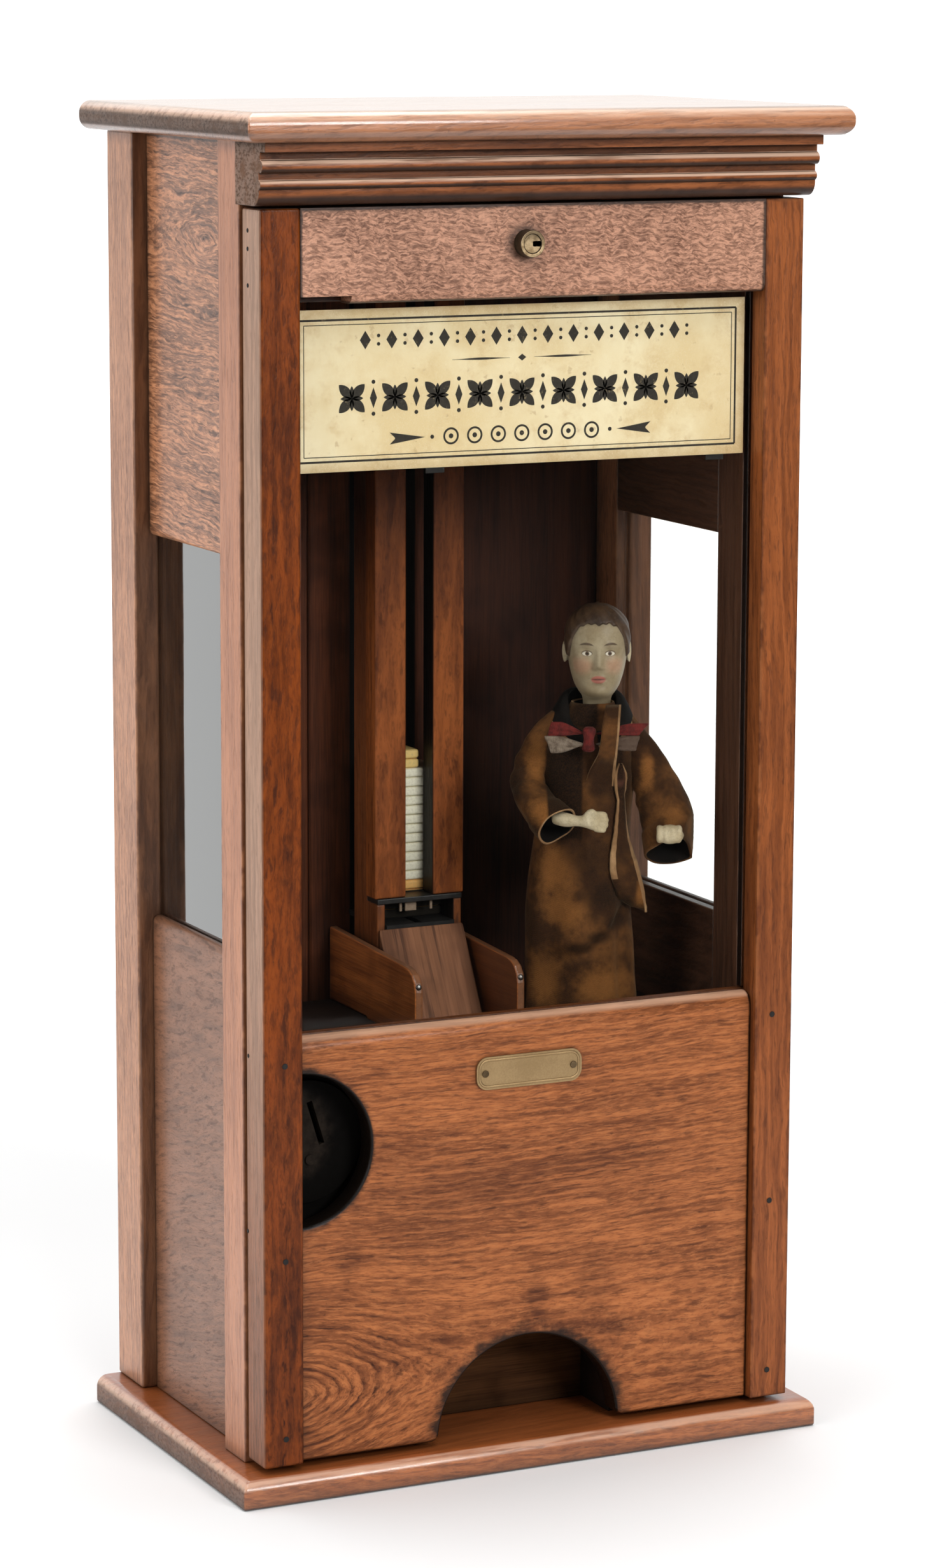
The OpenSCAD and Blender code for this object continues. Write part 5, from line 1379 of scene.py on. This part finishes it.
def head():
    m, rows = 112, head_rows()
    v = [head_point(2 * math.pi * j / m, dz) for dz in rows for j in range(m)]
    v.append((2.0, 0.2, HEAD_Z + 22.0))
    n = len(rows)
    f = grid_faces(n, m) + [((n - 1) * m + j, (n - 1) * m + (j + 1) % m, n * m) for j in range(m)] + [tuple(range(m - 1, -1, -1))]
    o = make("doll_head_painted", v, f, ["face_paint"], "doll", DOLL)
    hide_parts("doll_head")

    # hair: a moulded cap with combed grooves from a side parting, rounded off at the hairline
    m, rows = 160, [-15 + 33.0 * i / 74 for i in range(75)] + [18 + 4.0 * math.sin(math.pi / 2 * i / 18) for i in range(1, 19)]
    grid = {}
    v = []
    for i, dz in enumerate(rows):
        for j in range(m):
            a = 2 * math.pi * j / m
            k = smoothstep(-0.7, 1.3, dz - hairline(a) + 0.35 * math.sin(23 * a))
            if dz < -15.0 + 0.01:
                k = 0.0
            p = head_point(a, dz)
            comb = math.sin(9 * a + (p[0] + 5.0) * 0.5 + dz * 0.75 + 0.8 * ripple(p[0] * 0.1, p[1] * 0.1, dz * 0.1)) * 0.20 + math.sin(21 * a + dz * 0.9 + p[0] * 0.4) * 0.07
            part = -0.35 * math.exp(-((p[0] - 7.0) / 0.8) ** 2) * smoothstep(9.0, 14.0, dz)
            grid[i, j] = k
            v.append(head_point(a, dz, -0.7 + k * (1.75 + comb + part)))
    v.append((2.0, 0.2, HEAD_Z + 22.0 + 0.95))
    n = len(rows)
    f = []
    for i in range(n - 1):
        for j in range(m):
            q = (j + 1) % m
            if max(grid[i, j], grid[i, q], grid[i + 1, j], grid[i + 1, q]) > 0.0:
                f.append((i * m + j, i * m + q, (i + 1) * m + q, (i + 1) * m + j))
    f += [((n - 1) * m + j, (n - 1) * m + (j + 1) % m, n * m) for j in range(m)]
    used = sorted({q for p in f for q in p})
    new = {q: i for i, q in enumerate(used)}
    o = make("doll_hair", [v[q] for q in used], [tuple(new[q] for q in p) for p in f], ["hair_paint"], "doll", DOLL)
    solidify(o, 0.8, -1.0)
    bake_mesh(o)

    # ears: small shells with a rolled rim
    s = []
    for side in (-1, 1):
        n, m = 9, 28
        v = []
        for i in range(n):
            t = i / (n - 1)  # 0 in the hollow, 1 at the root behind the rim
            r = math.sin(math.pi / 2 * min(1.0, t * 1.45)) if t < 0.69 else 1.0 - 0.5 * (t - 0.69) / 0.31
            out = (0.5 + 1.5 * smoothstep(0.15, 0.6, t)) if t < 0.69 else 2.0 - 3.2 * (t - 0.69) / 0.31
            for j in range(m):
                a = 2 * math.pi * j / m
                e = 1.0 - 0.18 * smoothstep(0.2, 1.0, -math.sin(a))
                y = 1.2 + math.cos(a) * 2.9 * r * e
                z = HEAD_Z - 0.6 + math.sin(a) * 4.9 * r
                lean = (y - 1.2) * 0.34
                v.append((2.0 + side * (13.0 + out + lean), y, z))
        v.append((2.0 + side * 13.5, 1.2, HEAD_Z - 0.6))
        f = grid_faces(n, m) + [(n * m, (j + 1) % m, j) for j in range(m)] + [tuple((n - 1) * m + j for j in range(m))]
        s.append((v, f))
    v, f = merge(s)
    o = make("doll_ears", v, f, ["hand_paint"], "doll", DOLL)


gown_piece = gown()
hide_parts("doll_robe")
flaps()
sleeve("doll_sleeve_left", [(-12, 1, 331), (-20, 1, 323), (-26.5, -1, 311), (-29.5, -6, 299.5), (-25, -16.5, 291), (-17.0, -27, 284)],
       [(0, 5.2), (0.2, 6.4), (0.45, 7.6), (0.7, 8.8), (1, 10.0)], 0.84, 1.3, 0.86, 2)
sleeve("doll_sleeve_right", [(12, 1, 331), (18.5, 0, 320), (25, -1.5, 308), (31, -4, 295), (35, -9.5, 282), (37.0, -18.5, 270.5)],
       [(0, 5.2), (0.2, 7.0), (0.45, 9.6), (0.7, 12.0), (1, 12.6)], 0.86, 4.1, 0.84, 0)
collar()
bow()
hands()
head()



# ------------------------------------------------------------------ floor, light, camera
def floor():
    bpy.ops.mesh.primitive_circle_add(vertices=96, radius=0.95, fill_type="NGON", location=(0, 0, -0.0002))
    o = bpy.context.object
    o.name = "floor"
    t = Tree("floor")
    n = t.noise(t.coords(), 0.004, 3.0, 0.5)
    o.data.materials.append(t.surface(t.mix(n, (0.86, 0.86, 0.86), (0.90, 0.90, 0.90)), 0.9, Specular_IOR_Level=0.0))


def area(name, loc, target, size, watts, color=(1.0, 1.0, 1.0)):
    d = bpy.data.lights.new(name, "AREA")
    d.shape = "DISK"
    d.size = size
    d.energy = watts
    d.color = color
    o = bpy.data.objects.new(name, d)
    o.location = loc
    o.rotation_euler = (Vector(target) - Vector(loc)).to_track_quat("-Z", "Y").to_euler()
    scene.collection.objects.link(o)
    return o


def world():
    """Even white backdrop; the room in front of the object is dim, so the boards keep their colour."""
    w = bpy.data.worlds.new("studio")
    scene.world = w
    w.use_nodes = True
    t = w.node_tree
    t.nodes.clear()
    out = t.nodes.new("ShaderNodeOutputWorld")
    bg = t.nodes.new("ShaderNodeBackground")
    bg.inputs["Color"].default_value = (1.0, 1.0, 1.0, 1.0)
    tc = t.nodes.new("ShaderNodeTexCoord")
    sep = t.nodes.new("ShaderNodeSeparateXYZ")
    t.links.new(tc.outputs["Generated"], sep.inputs[0])
    mr = t.nodes.new("ShaderNodeMapRange")
    mr.interpolation_type = "SMOOTHSTEP"
    mr.inputs["From Min"].default_value = -0.35
    mr.inputs["From Max"].default_value = 0.25
    mr.inputs["To Min"].default_value = 0.10
    mr.inputs["To Max"].default_value = 1.05
    t.links.new(sep.outputs[1], mr.inputs["Value"])
    lp = t.nodes.new("ShaderNodeLightPath")
    k = t.nodes.new("ShaderNodeMath")
    k.operation = "MULTIPLY"
    t.links.new(lp.outputs["Is Camera Ray"], k.inputs[0])
    k.inputs[1].default_value = 1.7
    m = t.nodes.new("ShaderNodeMath")
    m.operation = "MAXIMUM"
    t.links.new(k.outputs[0], m.inputs[0])
    t.links.new(mr.outputs["Result"], m.inputs[1])
    t.links.new(m.outputs[0], bg.inputs["Strength"])
    t.links.new(bg.outputs[0], out.inputs["Surface"])


def camera():
    c = bpy.data.cameras.new("camera")
    c.sensor_fit = "AUTO"
    c.sensor_width = 36.0
    c.lens = 7291.35 / 2464 * 36.0
    c.clip_start = 0.05
    o = bpy.data.objects.new("camera", c)
    a, e, r = math.radians(-25.969), math.radians(9.938), math.radians(0.198)
    back = Vector((math.sin(a) * math.cos(e), -math.cos(a) * math.cos(e), math.sin(e)))
    right = (-back).cross(Vector((0, 0, 1))).normalized()
    up = right.cross(-back)
    r2 = right * math.cos(r) + up * math.sin(r)
    u2 = -right * math.sin(r) + up * math.cos(r)
    o.matrix_world = Matrix(((r2.x, u2.x, back.x, -0.91103), (r2.y, u2.y, back.y, -1.88270), (r2.z, u2.z, back.z, 0.66785), (0, 0, 0, 1)))
    scene.collection.objects.link(o)
    scene.camera = o


floor()
world()
area("key", (0.40, -2.10, 1.08), (0, -0.05, 0.30), 0.8, 27.5)
area("front_top", (-0.15, -1.0, 2.0), (0, -0.05, 0.45), 0.6, 8.5)
area("left", (-2.0, -0.7, 0.95), (-0.1, 0.0, 0.3), 1.6, 16.0)
area("top", (0.1, 0.25, 2.2), (0, 0, 0.3), 1.3, 22.0)
camera()

bpy.context.view_layer.update()
